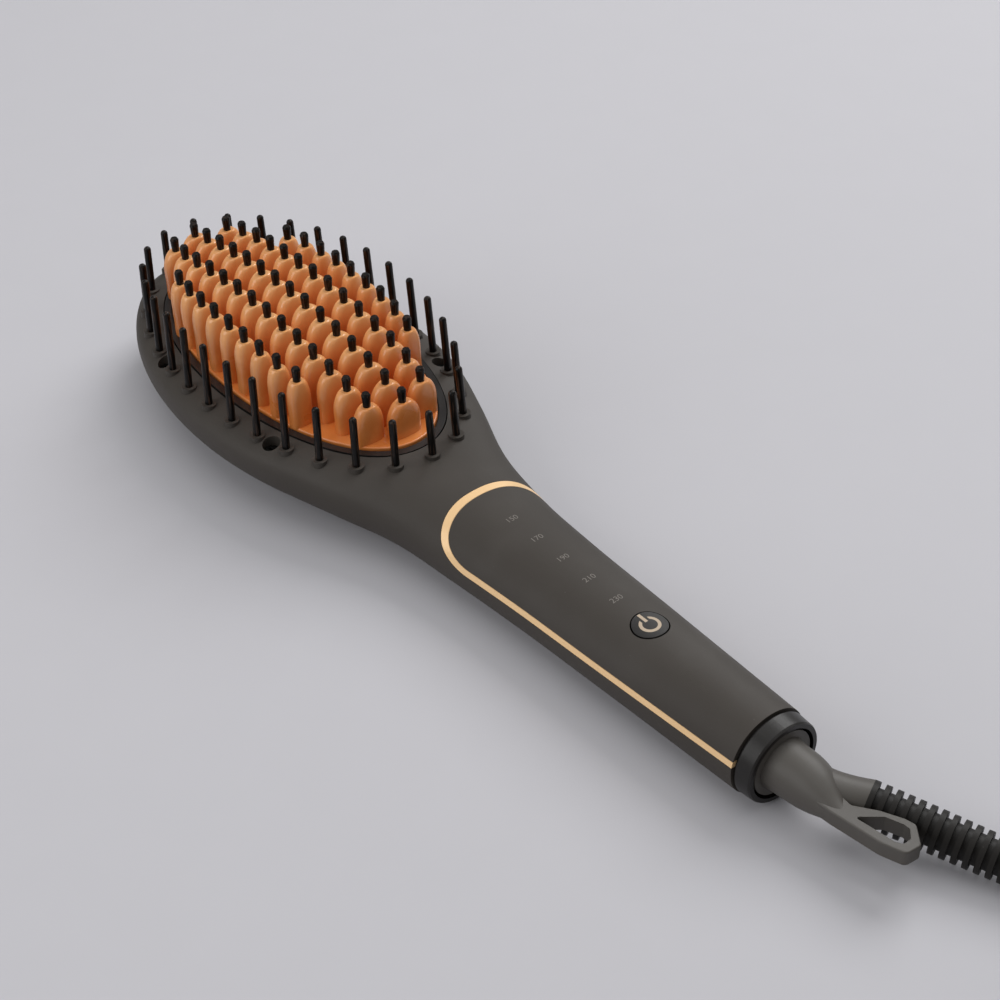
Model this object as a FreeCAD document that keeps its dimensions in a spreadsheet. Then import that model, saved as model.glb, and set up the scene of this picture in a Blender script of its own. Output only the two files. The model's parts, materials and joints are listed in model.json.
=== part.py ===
"""Heated hair straightening brush, lying on its back with the teeth upward.

Millimetres.  +X runs from the head to the cord, +Y is across, +Z is up and z = 0 is the table.
The driving sizes are in the spreadsheet "Sizes"; everything else is worked out from them.
"""
import FreeCAD, Part
import math
import os
import re
import Sketcher
from FreeCAD import Placement, Rotation, Vector

os.makedirs("parts", exist_ok=True)
doc = FreeCAD.newDocument("straightening_brush")
sheet = doc.addObject("Spreadsheet::Sheet", "Sizes")

SIZES = (
    # outer body, in plan
    ("tip_station", -142.7), ("wide_station", -75.2), ("tail_station", 102.4),
    ("head_half_width", 35.7), ("head_roundness", 2.0),
    ("shoulder_station", -50), ("shoulder_half_width", 32.8),
    ("throat_station", -30), ("throat_half_width", 26.1),
    ("waist_station", -12), ("waist_half_width", 19.4),
    ("grip_front_station", 6), ("grip_front_half_width", 16.6),
    ("grip_station", 26), ("grip_half_width", 14.8),
    ("grip_middle_station", 60), ("grip_middle_half_width", 13.1),
    ("tail_half_width", 10.9),
    # outer body, in side view
    ("head_top", 23.2), ("head_level", 15.5), ("grip_top", 21.6), ("grip_level", 10.8),
    ("head_blend_start", -50), ("head_blend_length", 66),
    ("tip_top_reach", 9), ("tip_back_reach", 28), ("end_roundness", 2.2), ("spine_arch", 0.5),
    ("head_top_fullness", 3.25), ("head_back_fullness", 2.0), ("grip_fullness", 2.1),
    ("wall_thickness", 2.2), ("seam_gap", 0.12),
    # parting of the back cover, and the edge of the control cover
    ("head_parting", 9.4), ("grip_parting", 4.4),
    ("parting_ramp_start", -58), ("parting_ramp_length", 46),
    ("trim_level", 13.25), ("trim_width", 1.55), ("trim_depth", 1.2),
    ("trim_front", 1.0), ("trim_bend", 16),
    # heating plate, its frame and its teeth
    ("plate_station", -77.2), ("plate_half_length", 52.7), ("plate_half_width", 23.4),
    ("plate_roundness", 2.1), ("plate_top", 23.4), ("plate_thickness", 2.0), ("plate_gap", 0.4),
    ("frame_width", 2.0), ("frame_drop", 0.7), ("frame_depth", 6.2), ("frame_gap", 0.3),
    ("ledge_width", 1.6), ("ledge_thickness", 1.5),
    ("flange_width", 1.4), ("flange_thickness", 1.6), ("flange_drop", 3.5),
    ("tooth_station", -78.4), ("tooth_pitch", 7.0), ("row_pitch", 9.78),
    ("tooth_top", 41.1), ("tooth_slope", 0.0412), ("tooth_crown", 0.0025), ("row_crown", 0.005),
    ("tooth_thickness", 4.5), ("tooth_root", 0.5), ("tooth_shoulder", 5.6),
    ("middle_tooth_width", 9.6), ("middle_tooth_count", 15),
    ("second_tooth_width", 8.4), ("second_tooth_count", 14), ("second_row_tuck", 1.3),
    ("outer_tooth_width", 6.3), ("outer_tooth_count", 9), ("outer_row_tuck", 2.0),
    ("socket_diameter", 3.5), ("tuft_diameter", 2.0), ("tuft_spread", 2.4),
    ("tuft_height", 4.0), ("tuft_seat", 2.5), ("tuft_clearance", 0.03),
    # guard bristles round the head
    ("guard_station", -77.6), ("guard_half_length", 60.1), ("guard_half_width", 30.6),
    ("guard_roundness", 2.07), ("guard_count", 29), ("guard_diameter", 2.0),
    ("guard_middle_height", 18.4), ("guard_end_height", 13.0), ("guard_lean", 2.4),
    ("guard_boss_diameter", 4.0), ("guard_boss_height", 0.9), ("guard_root", 3.2),
    ("guard_clearance", 0.03),
    # heater
    ("heater_length", 62), ("heater_width", 9), ("heater_thickness", 2.6), ("heater_offset", 9.5),
    ("film_thickness", 0.3), ("clamp_length", 76), ("clamp_width", 28), ("clamp_thickness", 1.5),
    ("clamp_screw_spacing", 36), ("clamp_boss_diameter", 6), ("clamp_screw_length", 5),
    ("clamp_take_up", 0.1), ("sensor_offset", 18), ("sensor_diameter", 2.4),
    ("sensor_length", 6), ("fuse_diameter", 4), ("fuse_length", 11), ("part_gap", 0.05),
    ("tray_floor", 11.0), ("tray_thickness", 1.5), ("tray_wall", 1.5),
    ("post_diameter", 6), ("post_spacing_along", 52), ("post_spacing_across", 24),
    ("post_pin_diameter", 2.6), ("post_pin_clearance", 0.1),
    ("lead_diameter", 1.2), ("lead_slot_width", 20), ("lead_slot_length", 12),
    ("lead_slot_rise", 0.8),
    # screws
    ("screw_diameter", 2.2), ("screw_head_diameter", 4.4), ("screw_head_height", 1.6),
    ("screw_clearance", 0.03), ("screw_hole_clearance", 0.2), ("screw_tip_gap", 0.3),
    ("screw_slot_width", 0.7), ("screw_slot_depth", 0.8), ("boss_wall", 1.5),
    ("front_well_guard", 9), ("rear_well_guard", 4), ("well_diameter", 4.8),
    ("well_depth", 4.0), ("well_wall", 1.2), ("well_floor", 1.5), ("head_screw_length", 4.8),
    ("well_rib_width", 3.2), ("well_rib_reach", 4.6),
    ("grip_screw_front", 8), ("grip_screw_rear", 80), ("grip_screw_length", 9),
    ("grip_screw_recess", 2.6), ("grip_seat_top", 5.9),
    # electronics
    ("board_front", 11.5), ("board_length", 64), ("board_width", 16), ("board_thickness", 1.6),
    ("board_level", 12.0), ("board_screw_front", 6), ("board_screw_rear", 60),
    ("board_screw_offset", 5.6), ("board_screw_length", 5), ("board_boss_diameter", 4.2),
    ("mark_station", 14.3), ("mark_pitch", 9.6), ("mark_count", 5),
    ("lamp_length", 1.6), ("lamp_width", 3.2), ("lamp_height", 0.9), ("guide_gap", 0.2),
    ("guide_bar_level", 16.2), ("guide_bar_thickness", 1.2), ("guide_foot_length", 2),
    ("chip_length", 10), ("chip_width", 6), ("chip_height", 1.75), ("chip_station", 34),
    ("capacitor_diameter", 8), ("capacitor_length", 16), ("capacitor_station", 54),
    ("triac_length", 10), ("triac_width", 4.5), ("triac_height", 8), ("triac_station", 22),
    # power button
    ("button_station", 64.2), ("button_diameter", 8.6), ("button_gap", 0.35),
    ("button_rise", 0.1), ("button_flange", 0.9), ("button_flange_thickness", 0.8),
    ("button_flange_gap", 0.3), ("button_travel", 0.6), ("button_stem_diameter", 3),
    ("symbol_diameter", 5.2), ("symbol_stroke", 0.8), ("symbol_depth", 0.35),
    ("symbol_opening", 2.2), ("symbol_bar", 3.0), ("symbol_clearance", 0.02),
    ("switch_width", 6), ("switch_height", 2.4), ("switch_bore_floor", 0.3),
    ("plunger_diameter", 2.6), ("plunger_clearance", 0.1), ("plunger_rise", 0.9),
    # tail collar and swivel
    ("groove_width", 1.0), ("groove_depth", 0.9), ("collar_diameter", 21.4),
    ("collar_length", 4.2), ("collar_round", 0.5), ("spigot_length", 10),
    ("spigot_diameter", 16.6), ("spigot_bore", 14.0),
    ("catch_place", 1.9), ("catch_width", 1.6), ("catch_depth", 0.9), ("catch_clearance", 0.12),
    ("mouth_diameter", 18.2), ("mouth_depth", 3.4), ("bearing_length", 5.6),
    ("journal_diameter", 8.8), ("journal_clearance", 0.1), ("swivel_gap", 0.4),
    ("swivel_diameter", 16.8), ("swivel_length", 2.6),
    ("retainer_thickness", 1.4), ("retainer_diameter", 12.4), ("retainer_groove", 0.9),
    ("retainer_clearance", 0.03), ("journal_end", 1.3),
    ("stub_diameter", 6.0), ("stub_length", 11), ("ring_diameter", 7.6), ("ring_width", 2.0),
    ("ring_inset", 1.0), ("ring_pitch", 4.0), ("contact_gap", 0.3),
    ("contact_thickness", 0.4), ("contact_width", 1.6), ("contact_length", 8),
    ("carrier_length", 7.4), ("carrier_width", 11),
    # cord entry: neck, hanging eye and strain relief
    ("neck_start_diameter", 12.2), ("neck_diameter", 10.2),
    ("eye_low", 1.9), ("eye_height", 4.1), ("eye_rounding", 0.4), ("eye_clearance", 0.2),
    ("relief_length", 50.618), ("relief_end_diameter", 8.6), ("relief_core_drop", 1.3),
    ("relief_end_wall", 0.35), ("relief_rib_pitch", 2.55), ("relief_rib_width", 1.25),
    # supply cord and plug
    ("cord_diameter", 6.0), ("coil_outer", 90.6), ("coil_hole", 42), ("coil_height", 12.2),
    ("plug_length", 36), ("plug_width", 24), ("plug_height", 13), ("plug_round", 3),
    ("plug_neck_length", 20), ("plug_neck_diameter", 11), ("plug_neck_end_diameter", 7.4),
    ("pin_diameter", 4), ("pin_length", 19), ("pin_spacing", 18.6),
)
for row, (name, value) in enumerate(SIZES, 1):
    sheet.set("A%d" % row, name)
    sheet.set("B%d" % row, str(value))
    sheet.setAlias("B%d" % row, name)
results = doc.addObject("Spreadsheet::Sheet", "Results")
doc.recompute()


class Sheet:
    """The spreadsheet's values, read by name."""

    def __getattr__(self, name):
        return float(sheet.get(name))


s = Sheet()
X_AXIS, Y_AXIS, Z_AXIS = Vector(1, 0, 0), Vector(0, 1, 0), Vector(0, 0, 1)
NODES = []


def sheet_names(expression):
    """An expression with each size name led by the sheet's own name."""
    return re.sub(r"\b([a-z]+(?:_[a-z]+)+)\b", r"Sizes.\1", expression)


def value_of(expression):
    """The value of an expression in the sheet's sizes."""
    results.set("A1", "=" + sheet_names(expression))
    results.recompute()
    return float(results.get("A1"))


def node(name, item):
    """Register a finished sub-part under its own label."""
    item.Label = name
    NODES.append(item)
    return item


def solid(name, shape):
    """A free-form piece of the document."""
    item = doc.addObject("Part::Feature", name)
    item.Shape = shape
    return item


def bind(item, **expressions):
    """Tie properties of an object to the sheet; x, y and z are its place."""
    for prop, expression in expressions.items():
        path = "Placement.Base." + prop if prop in ("x", "y", "z") else prop
        item.setExpression(path, sheet_names(expression))
    return item


def box(name, length, width, height, x, y, z):
    """A box centred on x and y that stands on z; every value is an expression."""
    item = doc.addObject("Part::Box", name)
    return bind(item, Length=length, Width=width, Height=height,
                x="%s - (%s) / 2" % (x, length), y="%s - (%s) / 2" % (y, width), z=z)


def rod(name, diameter, length, x, y, z, along=Z_AXIS):
    """A cylinder that starts at x, y, z; every value is an expression."""
    item = doc.addObject("Part::Cylinder", name)
    item.Placement = Placement(Vector(), Rotation(Z_AXIS, along))
    return bind(item, Radius="(%s) / 2" % diameter, Height=length, x=x, y=y, z=z)


def fuse(name, *pieces):
    item = doc.addObject("Part::MultiFuse", name)
    item.Shapes = list(pieces)
    item.Refine = False
    return item


def cut(name, base, *tools):
    item = doc.addObject("Part::Cut", name)
    item.Base = base
    item.Refine = False
    item.Tool = tools[0] if len(tools) == 1 else group(name + "_tools", tools)
    return item


def common(name, *pieces):
    item = doc.addObject("Part::MultiCommon", name)
    item.Shapes = list(pieces)
    item.Refine = False
    return item


def group(name, pieces):
    """Separate solids that share one node."""
    item = doc.addObject("Part::Compound", name)
    item.Links = list(pieces)
    return item


def revolved(name, points, z="0"):
    """A PartDesign body turned about a line along X at height z, from pairs of expressions."""
    body = doc.addObject("PartDesign::Body", name)
    sketch = body.newObject("Sketcher::SketchObject", name + "_profile")
    plane = [item for item in body.Origin.OriginFeatures if item.Role == "XZ_Plane"][0]
    sketch.AttachmentSupport = [(plane, "")]
    sketch.MapMode = "FlatFace"
    corners = [Vector(value_of(along), value_of(radius), 0) for along, radius in points]
    for start, end in zip(corners, corners[1:] + corners[:1]):
        sketch.addGeometry(Part.LineSegment(start, end))
    count = len(points)
    for i in range(count):
        sketch.addConstraint(Sketcher.Constraint("Coincident", i, 2, (i + 1) % count, 1))
    for i, (along, radius) in enumerate(points):
        for kind, expression in (("DistanceX", along), ("DistanceY", radius)):
            constraint = Sketcher.Constraint(kind, i, 1, value_of(expression))
            number = sketch.addConstraint(constraint)
            sketch.setExpression("Constraints[%d]" % number, sheet_names(expression))
    turn = body.newObject("PartDesign::Revolution", name + "_turn")
    turn.Profile = sketch
    turn.ReferenceAxis = (sketch, ["H_Axis"])
    turn.Angle = 360
    return bind(body, z=z)


# ---- outer form of the body -------------------------------------------------------------

def smooth(share):
    """0 to 1 with a level start and end."""
    share = min(max(share, 0), 1)
    return share * share * (3 - 2 * share)


def rounded_end(distance, reach, fullness):
    """Height left at a distance from an end that closes along a quarter oval."""
    share = min(max(1 - distance / reach, 0), 1)
    return (1 - share ** fullness) ** (1 / fullness)


def curve_through(points, x):
    """Smooth curve through the points, level at the first and straight past the last."""
    gaps = [b[0] - a[0] for a, b in zip(points, points[1:])]
    rates = [(b[1] - a[1]) / (b[0] - a[0]) for a, b in zip(points, points[1:])]
    slopes = [0]
    for i in range(1, len(rates)):
        slopes.append((gaps[i] * rates[i - 1] + gaps[i - 1] * rates[i]) / (gaps[i] + gaps[i - 1]))
    slopes.append(rates[-1])
    if x >= points[-1][0]:
        return points[-1][1] + rates[-1] * (x - points[-1][0])
    i = max(k for k in range(len(gaps)) if points[k][0] <= x)
    share = (x - points[i][0]) / gaps[i]
    back = 1 - share
    return (points[i][1] * (1 + 2 * share) * back ** 2
            + points[i + 1][1] * share ** 2 * (3 - 2 * share)
            + gaps[i] * slopes[i] * share * back ** 2
            - gaps[i] * slopes[i + 1] * share ** 2 * back)


WIDTHS = tuple((getattr(s, name + "_station"), getattr(s, name + "_half_width")) for name in
               ("shoulder", "throat", "waist", "grip_front", "grip", "grip_middle", "tail"))
WIDTHS = ((s.wide_station, s.head_half_width),) + WIDTHS


def half_width(x, inset=0):
    """Half the body's width at a station: an oval head, then a curve through the widths."""
    if x >= s.wide_station:
        return curve_through(WIDTHS, x) - inset
    tip = s.tip_station + inset
    reach = s.wide_station - tip
    return (s.head_half_width - inset) * rounded_end(x - tip, reach, s.head_roundness)


def section(x, inset=0):
    """Widest level, rise above it, drop below it and the two fullnesses of a section."""
    blend = smooth((x - s.head_blend_start) / s.head_blend_length)
    level = s.head_level + (s.grip_level - s.head_level) * blend
    top = s.head_top + (s.grip_top - s.head_top) * blend
    blend_end = s.head_blend_start + s.head_blend_length
    along_grip = min(max((x - blend_end) / (s.tail_station - blend_end), 0), 1)
    back = s.spine_arch * math.sin(math.pi * along_grip) ** 2
    from_tip = x - s.tip_station - inset
    rise = (top - inset - level) * rounded_end(from_tip, s.tip_top_reach, s.end_roundness)
    drop = (level - back - inset) * rounded_end(from_tip, s.tip_back_reach, s.end_roundness)
    over = s.head_top_fullness + (s.grip_fullness - s.head_top_fullness) * blend
    under = s.head_back_fullness + (s.grip_fullness - s.head_back_fullness) * blend
    return level, rise, drop, over, under


def top_at(x, y, inset=0):
    """Height of the body's upper surface over a point."""
    level, rise, _, over, _ = section(x, inset)
    share = min(abs(y) / half_width(x, inset), 1)
    return level + rise * (1 - share ** over) ** (1 / over)


def closed_curve(points):
    """Smooth closed wire whose points keep the same parameters on every section."""
    curve = Part.BSplineCurve()
    curve.interpolate(Points=points, PeriodicFlag=True,
                      Parameters=[float(k) for k in range(len(points) + 1)])
    return Part.Wire(curve.toShape())


def section_wire(x, inset):
    """Closed outline of the body at a station."""
    level, rise, drop, over, under = section(x, inset)
    width = half_width(x, inset)
    points = []
    for k in range(OUTLINE_POINTS):
        angle = 2 * math.pi * k / OUTLINE_POINTS - math.pi / 2
        across, up = math.cos(angle), math.sin(angle)
        fullness = over if up >= 0 else under
        reach = (abs(across) ** fullness + abs(up) ** fullness) ** (-1 / fullness)
        height = (rise if up >= 0 else drop) * up * reach
        points.append(Vector(x, width * across * reach, level + height))
    return closed_curve(points)


def hull(inset, overrun=0):
    """The body drawn inward by inset, as one solid that may run past the tail."""
    tip = s.tip_station + inset
    head = [tip + (s.wide_station - tip) * (1 - math.cos(math.pi / 2 * share))
            for share in TIP_SHARES]
    end = s.tail_station + overrun
    step = (end - s.wide_station) / BODY_SECTIONS
    stations = head + [s.wide_station + step * k for k in range(1, BODY_SECTIONS + 1)]
    return Part.makeLoft([section_wire(x, inset) for x in stations], True, False)


OUTLINE_POINTS = 32
TIP_SHARES = (0.02, 0.07, 0.14, 0.23, 0.34, 0.46, 0.59, 0.72, 0.86, 1)
BODY_SECTIONS = 18
FAR = 300

outer_form = solid("outer_form", hull(0))
cavity_form = solid("cavity_form", hull(s.wall_thickness, overrun=5))
clear_form = solid("clear_form", hull(s.wall_thickness + s.seam_gap, overrun=5))
skin_form = solid("skin_form", hull(s.trim_depth, overrun=5))


# ---- zones that part the casing ---------------------------------------------------------

def slab(points, name):
    """A closed outline in the XZ plane, carried right across the body."""
    outline = Part.makePolygon(points + points[:1]) if isinstance(points, list) else points
    face = Part.Face(outline)
    return solid(name, face.extrude(Y_AXIS * 2 * FAR))


def cover_zone(name, toward_cover):
    """Everything above the trim's path, moved toward the cover by a distance.

    The path falls at 45 degrees from the top of the grip and bends level at trim_level.
    """
    corner = s.trim_front + s.grip_top - s.trim_level
    reach = s.trim_bend * math.tan(math.pi / 8)
    centre = Vector(corner + reach, -FAR, s.trim_level + s.trim_bend)
    radius = s.trim_bend - toward_cover
    at = [centre + Vector(-math.sin(a), 0, -math.cos(a)) * radius
          for a in (math.pi / 4, math.pi / 8, 0)]
    high = at[0] + Vector(-1, 0, 1) * FAR / 2
    far = Vector(FAR, -FAR, at[2].z)
    top = Vector(FAR, -FAR, high.z)
    edges = [Part.LineSegment(high, at[0]).toShape(), Part.Arc(*at).toShape(),
             Part.LineSegment(at[2], far).toShape(), Part.LineSegment(far, top).toShape(),
             Part.LineSegment(top, high).toShape()]
    return slab(Part.Wire(edges), name)


def back_zone(name, lift):
    """Everything below the parting of the back cover, lifted by a distance."""
    ramp_end = s.parting_ramp_start + s.parting_ramp_length
    line = [(-FAR, s.head_parting), (s.parting_ramp_start, s.head_parting),
            (ramp_end, s.grip_parting), (FAR, s.grip_parting)]
    points = [Vector(x, -FAR, z + lift) for x, z in line]
    return slab(points + [Vector(FAR, -FAR, -FAR), Vector(-FAR, -FAR, -FAR)], name)


def parting_at(x):
    """Height of the parting at a station."""
    share = min(max((x - s.parting_ramp_start) / s.parting_ramp_length, 0), 1)
    return s.head_parting + (s.grip_parting - s.head_parting) * share


half_trim = s.trim_width / 2
under_trim = cover_zone("under_trim", -half_trim - s.seam_gap)
trim_outer_edge = cover_zone("trim_outer_edge", -half_trim)
trim_inner_edge = cover_zone("trim_inner_edge", half_trim)
over_trim = cover_zone("over_trim", half_trim + s.seam_gap)
back_below = back_zone("back_below", 0)
front_below = back_zone("front_below", s.seam_gap)


# ---- plan ovals and places --------------------------------------------------------------

def oval(half_length, half_width_, roundness, angle):
    """A point of an oval in plan."""
    across, up = math.cos(angle), math.sin(angle)
    return Vector(half_length * math.copysign(abs(across) ** (2 / roundness), across),
                  half_width_ * math.copysign(abs(up) ** (2 / roundness), up), 0)


def plate_prism(offset, low, high):
    """The heating plate's outline, grown by an offset, between two heights."""
    count = 40
    points = []
    for k in range(count):
        angle = 2 * math.pi * (k + 0.5) / count
        across, up = math.cos(angle), math.sin(angle)
        reach = (abs(across) ** s.plate_roundness + abs(up) ** s.plate_roundness)
        reach = reach ** (-1 / s.plate_roundness)
        points.append(Vector(s.plate_station + (s.plate_half_length + offset) * across * reach,
                             (s.plate_half_width + offset) * up * reach, low))
    return Part.Face(closed_curve(points)).extrude(Z_AXIS * (high - low))


def guard_ring():
    """Evenly spaced places of the guard bristles: x, y, outward direction and end share."""
    fine = 1440
    ring = [oval(s.guard_half_length, s.guard_half_width, s.guard_roundness,
                 2 * math.pi * k / fine) for k in range(fine + 1)]
    run = [0]
    for a, b in zip(ring, ring[1:]):
        run.append(run[-1] + (b - a).Length)
    places = []
    for number in range(int(s.guard_count)):
        target = run[-1] * number / s.guard_count
        k = next(i for i, length in enumerate(run) if length >= target)
        ahead, behind = ring[(k + 1) % fine], ring[(k - 1) % fine]
        outward = Z_AXIS.cross(behind - ahead).normalize()
        places.append((ring[k] + Vector(s.guard_station, 0, 0), outward,
                       abs(ring[k].x) / s.guard_half_length))
    return places


GUARDS = guard_ring()


def guard_frame(place, outward):
    """A bristle's foot on the rim and its direction, leaning inward a little."""
    lean = math.radians(s.guard_lean)
    foot = Vector(place.x, place.y, top_at(place.x, place.y) + s.guard_boss_height)
    return foot, Z_AXIS * math.cos(lean) - outward * math.sin(lean)


def guard_rods(diameter, below, above=0):
    """A rod at each guard bristle, from below its foot to above it."""
    rods = []
    for place, outward, _ in GUARDS:
        foot, up = guard_frame(place, outward)
        rods.append(Part.makeCylinder(diameter / 2, below + above, foot - up * below, up))
    return rods


def well_places():
    """The four screw wells, each midway between two guard bristles."""
    places = []
    for first in (s.front_well_guard, s.rear_well_guard):
        between = (GUARDS[int(first)][0] + GUARDS[int(first) + 1][0]) / 2
        places += [Vector(between.x, between.y, 0), Vector(between.x, -between.y, 0)]
    return places


WELLS = well_places()


def rod_at(place, diameter, low, high):
    """An upright cylinder over a place, between two heights."""
    return Part.makeCylinder(diameter / 2, high - low, Vector(place.x, place.y, low))


def shapes(name, pieces):
    """A piece of the document made of separate shapes."""
    return solid(name, Part.makeCompound(pieces))


def screw(name, x, y, seat, length, way):
    """A screw whose head bears on seat; its shank runs up (way 1) or down (way -1)."""
    head = "%s - screw_head_height" % seat if way > 0 else seat
    shank = seat if way > 0 else "%s - %s" % (seat, length)
    slot = head if way > 0 else "%s + screw_head_height - screw_slot_depth" % seat
    body = fuse(name + "_body",
                rod(name + "_head", "screw_head_diameter", "screw_head_height", x, y, head),
                rod(name + "_shank", "screw_diameter", length, x, y, shank))
    return cut(name, body,
               box(name + "_slot", "0.6 * screw_head_diameter", "screw_slot_width",
                   "screw_slot_depth", x, y, slot),
               box(name + "_cross", "screw_slot_width", "0.6 * screw_head_diameter",
                   "screw_slot_depth", x, y, slot))


# ---- casing -----------------------------------------------------------------------------

catch_start = "tail_station - catch_place - catch_width / 2"
catch_ring = cut("catch_ring", rod("catch_blank", "2 * tail_half_width - wall_thickness",
                                   "catch_width", catch_start, "0", "grip_level", along=X_AXIS),
                 rod("catch_bore", "spigot_diameter - 2 * catch_depth + 2 * catch_clearance",
                     "3 * catch_width", catch_start + " - catch_width", "0", "grip_level",
                     along=X_AXIS))
casing_form = fuse("casing_form", cut("casing_walls", outer_form, cavity_form), catch_ring)

# front shell: rim bosses and screw wells, less the heater opening and the control cover
screw_hole = s.screw_diameter + 2 * s.screw_hole_clearance
screw_pilot = s.screw_diameter + 2 * s.screw_clearance
well_seats = [top_at(place.x, place.y) - s.well_depth for place in WELLS]
well_feet = [seat - s.well_floor for seat in well_seats]
tube_diameter = s.well_diameter + 2 * s.well_wall
well_tubes = common("well_tubes", outer_form, shapes("well_blanks", [
    rod_at(place, tube_diameter, foot, FAR) for place, foot in zip(WELLS, well_feet)]))
well_bores = [rod_at(place, s.well_diameter, seat, FAR) for place, seat in zip(WELLS, well_seats)]
well_bores += [rod_at(place, screw_hole, foot - 1, FAR) for place, foot in zip(WELLS, well_feet)]
guard_bosses = shapes("guard_bosses", guard_rods(
    s.guard_boss_diameter, s.guard_boss_height + s.wall_thickness / 2))
guard_bores = shapes("guard_bores", guard_rods(
    s.guard_diameter + 2 * s.guard_clearance, s.guard_root + s.wall_thickness, 1))
frame_bottom = s.plate_top - s.frame_depth
opening = solid("opening", plate_prism(
    s.plate_gap + s.frame_width + s.frame_gap, frame_bottom, FAR))
front_blank = fuse("front_blank", cut("front_walls", casing_form, front_below),
                   well_tubes, guard_bosses)
trim_rebate = cut("trim_rebate", cut("rebate_band", under_trim, over_trim), skin_form)
front_shell = node("front_shell", cut(
    "front_shell", front_blank, trim_inner_edge, trim_rebate,
    opening, guard_bores, fuse("well_bores", *[
        solid("well_bore", bore) for bore in well_bores])))

# gold trim in its rebate
trim_band = cut("trim_band", trim_outer_edge, trim_inner_edge)
node("gold_trim", cut("gold_trim", common("trim_blank", outer_form, trim_band), skin_form))

# back shell: posts for the tray, pillars for the head screws, seats for the grip screws
tray_posts, tray_pins, tray_holes = [], [], []
for along in (-1, 1):
    for across in (-1, 1):
        x = "plate_station + %d * post_spacing_along / 2" % along
        y = "%d * post_spacing_across / 2" % across
        tray_posts.append(rod("tray_post", "post_diameter", "tray_floor", x, y, "0"))
        tray_pins.append(rod("tray_pin", "post_pin_diameter", "tray_thickness",
                             x, y, "tray_floor"))
        tray_holes.append(rod("tray_hole", "post_pin_diameter + 2 * post_pin_clearance",
                              "2 * tray_thickness", x, y, "tray_floor - tray_thickness / 2"))
pillar_tops, pillar_feet, pilots = [], [], []
for place, seat, foot in zip(WELLS, well_seats, well_feet):
    top = foot - s.seam_gap
    inward = place.y - s.well_rib_reach if place.y > 0 else place.y
    foot_top = parting_at(place.x + s.boss_wall + s.screw_diameter)
    for pieces, low, high, grow in ((pillar_feet, -1, foot_top, 0.1),
                                    (pillar_tops, foot_top - 1, top, 0)):
        pillar = rod_at(place, screw_pilot + 2 * (s.boss_wall + grow), low, high)
        rib = Part.makeBox(s.well_rib_width + 2 * grow, s.well_rib_reach, high - low, Vector(
            place.x - s.well_rib_width / 2 - grow, inward - math.copysign(grow, place.y), low))
        pieces.append(solid("pillar", pillar.fuse(rib)))
    tip = seat - s.head_screw_length
    pilots.append(rod_at(place, screw_pilot, tip - s.screw_tip_gap, top + 1))
seat_rods, seat_bores = [], []
for station in ("grip_screw_front", "grip_screw_rear"):
    seat_rods.append(rod("grip_seat", "screw_head_diameter + 0.4 + 2 * boss_wall",
                         "grip_seat_top", station, "0", "0"))
    seat_bores.append(rod("grip_recess", "screw_head_diameter + 0.4",
                          "grip_screw_recess + 1", station, "0", "-1"))
    seat_bores.append(rod("grip_hole", "screw_diameter + 2 * screw_hole_clearance",
                          "2 * grip_seat_top", station, "0", "0"))
back_blank = fuse("back_blank", common("back_walls", casing_form, back_below),
                  common("back_posts", skin_form, group("post_blank", (
                      tray_posts + pillar_feet + seat_rods))), *tray_pins,
                  common("pillar_tops", clear_form, group("pillar_blank", pillar_tops)))
node("back_shell", cut("back_shell", back_blank, shapes("head_pilots", pilots),
                       fuse("seat_bores", *seat_bores)))

# control cover with its screw bosses and the button's hole
boss_rods, boss_pilots = [], []
for station in ("grip_screw_front", "grip_screw_rear"):
    boss_rods.append(rod("grip_boss", "screw_diameter + 2 * boss_wall", "grip_top",
                         station, "0", "grip_seat_top + seam_gap"))
    boss_pilots.append(rod("grip_pilot", "screw_diameter + 2 * screw_clearance",
                           "grip_screw_length + screw_tip_gap", station, "0",
                           "grip_screw_recess"))
board_screw_places = []
for station in ("board_front + board_screw_front", "board_front + board_screw_rear"):
    for side in ("", "-"):
        board_screw_places.append((station, side + "board_screw_offset"))
for x, y in board_screw_places:
    boss_rods.append(rod("board_boss", "board_boss_diameter", "grip_top", x, y,
                         "board_level + board_thickness"))
    boss_pilots.append(rod("board_pilot", "screw_diameter + 2 * screw_clearance",
                           "board_screw_length + screw_tip_gap", x, y, "board_level"))
cover_blank = fuse("cover_blank", common("cover_walls", casing_form, over_trim),
                   common("boss_feet", fuse("boss_blank", *boss_rods), skin_form))
button_hole = rod("button_hole", "button_diameter + 2 * button_gap", "grip_top",
                  "button_station", "0", "grip_level")
node("control_cover", cut("control_cover", cover_blank, fuse("boss_pilots", *boss_pilots),
                          button_hole))

# ---- heating plate with its teeth -------------------------------------------------------

plate_bottom = s.plate_top - s.plate_thickness


def tooth_wire(x, y, thick, wide, fullness, z):
    """Rounded outline of a tooth at a height."""
    points = []
    for k in range(16):
        angle = 2 * math.pi * k / 16
        across, along = math.cos(angle), math.sin(angle)
        reach = (abs(across) ** fullness + abs(along) ** fullness) ** (-1 / fullness)
        points.append(Vector(x + thick * along * reach, y + wide * across * reach, z))
    return closed_curve(points)


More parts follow.
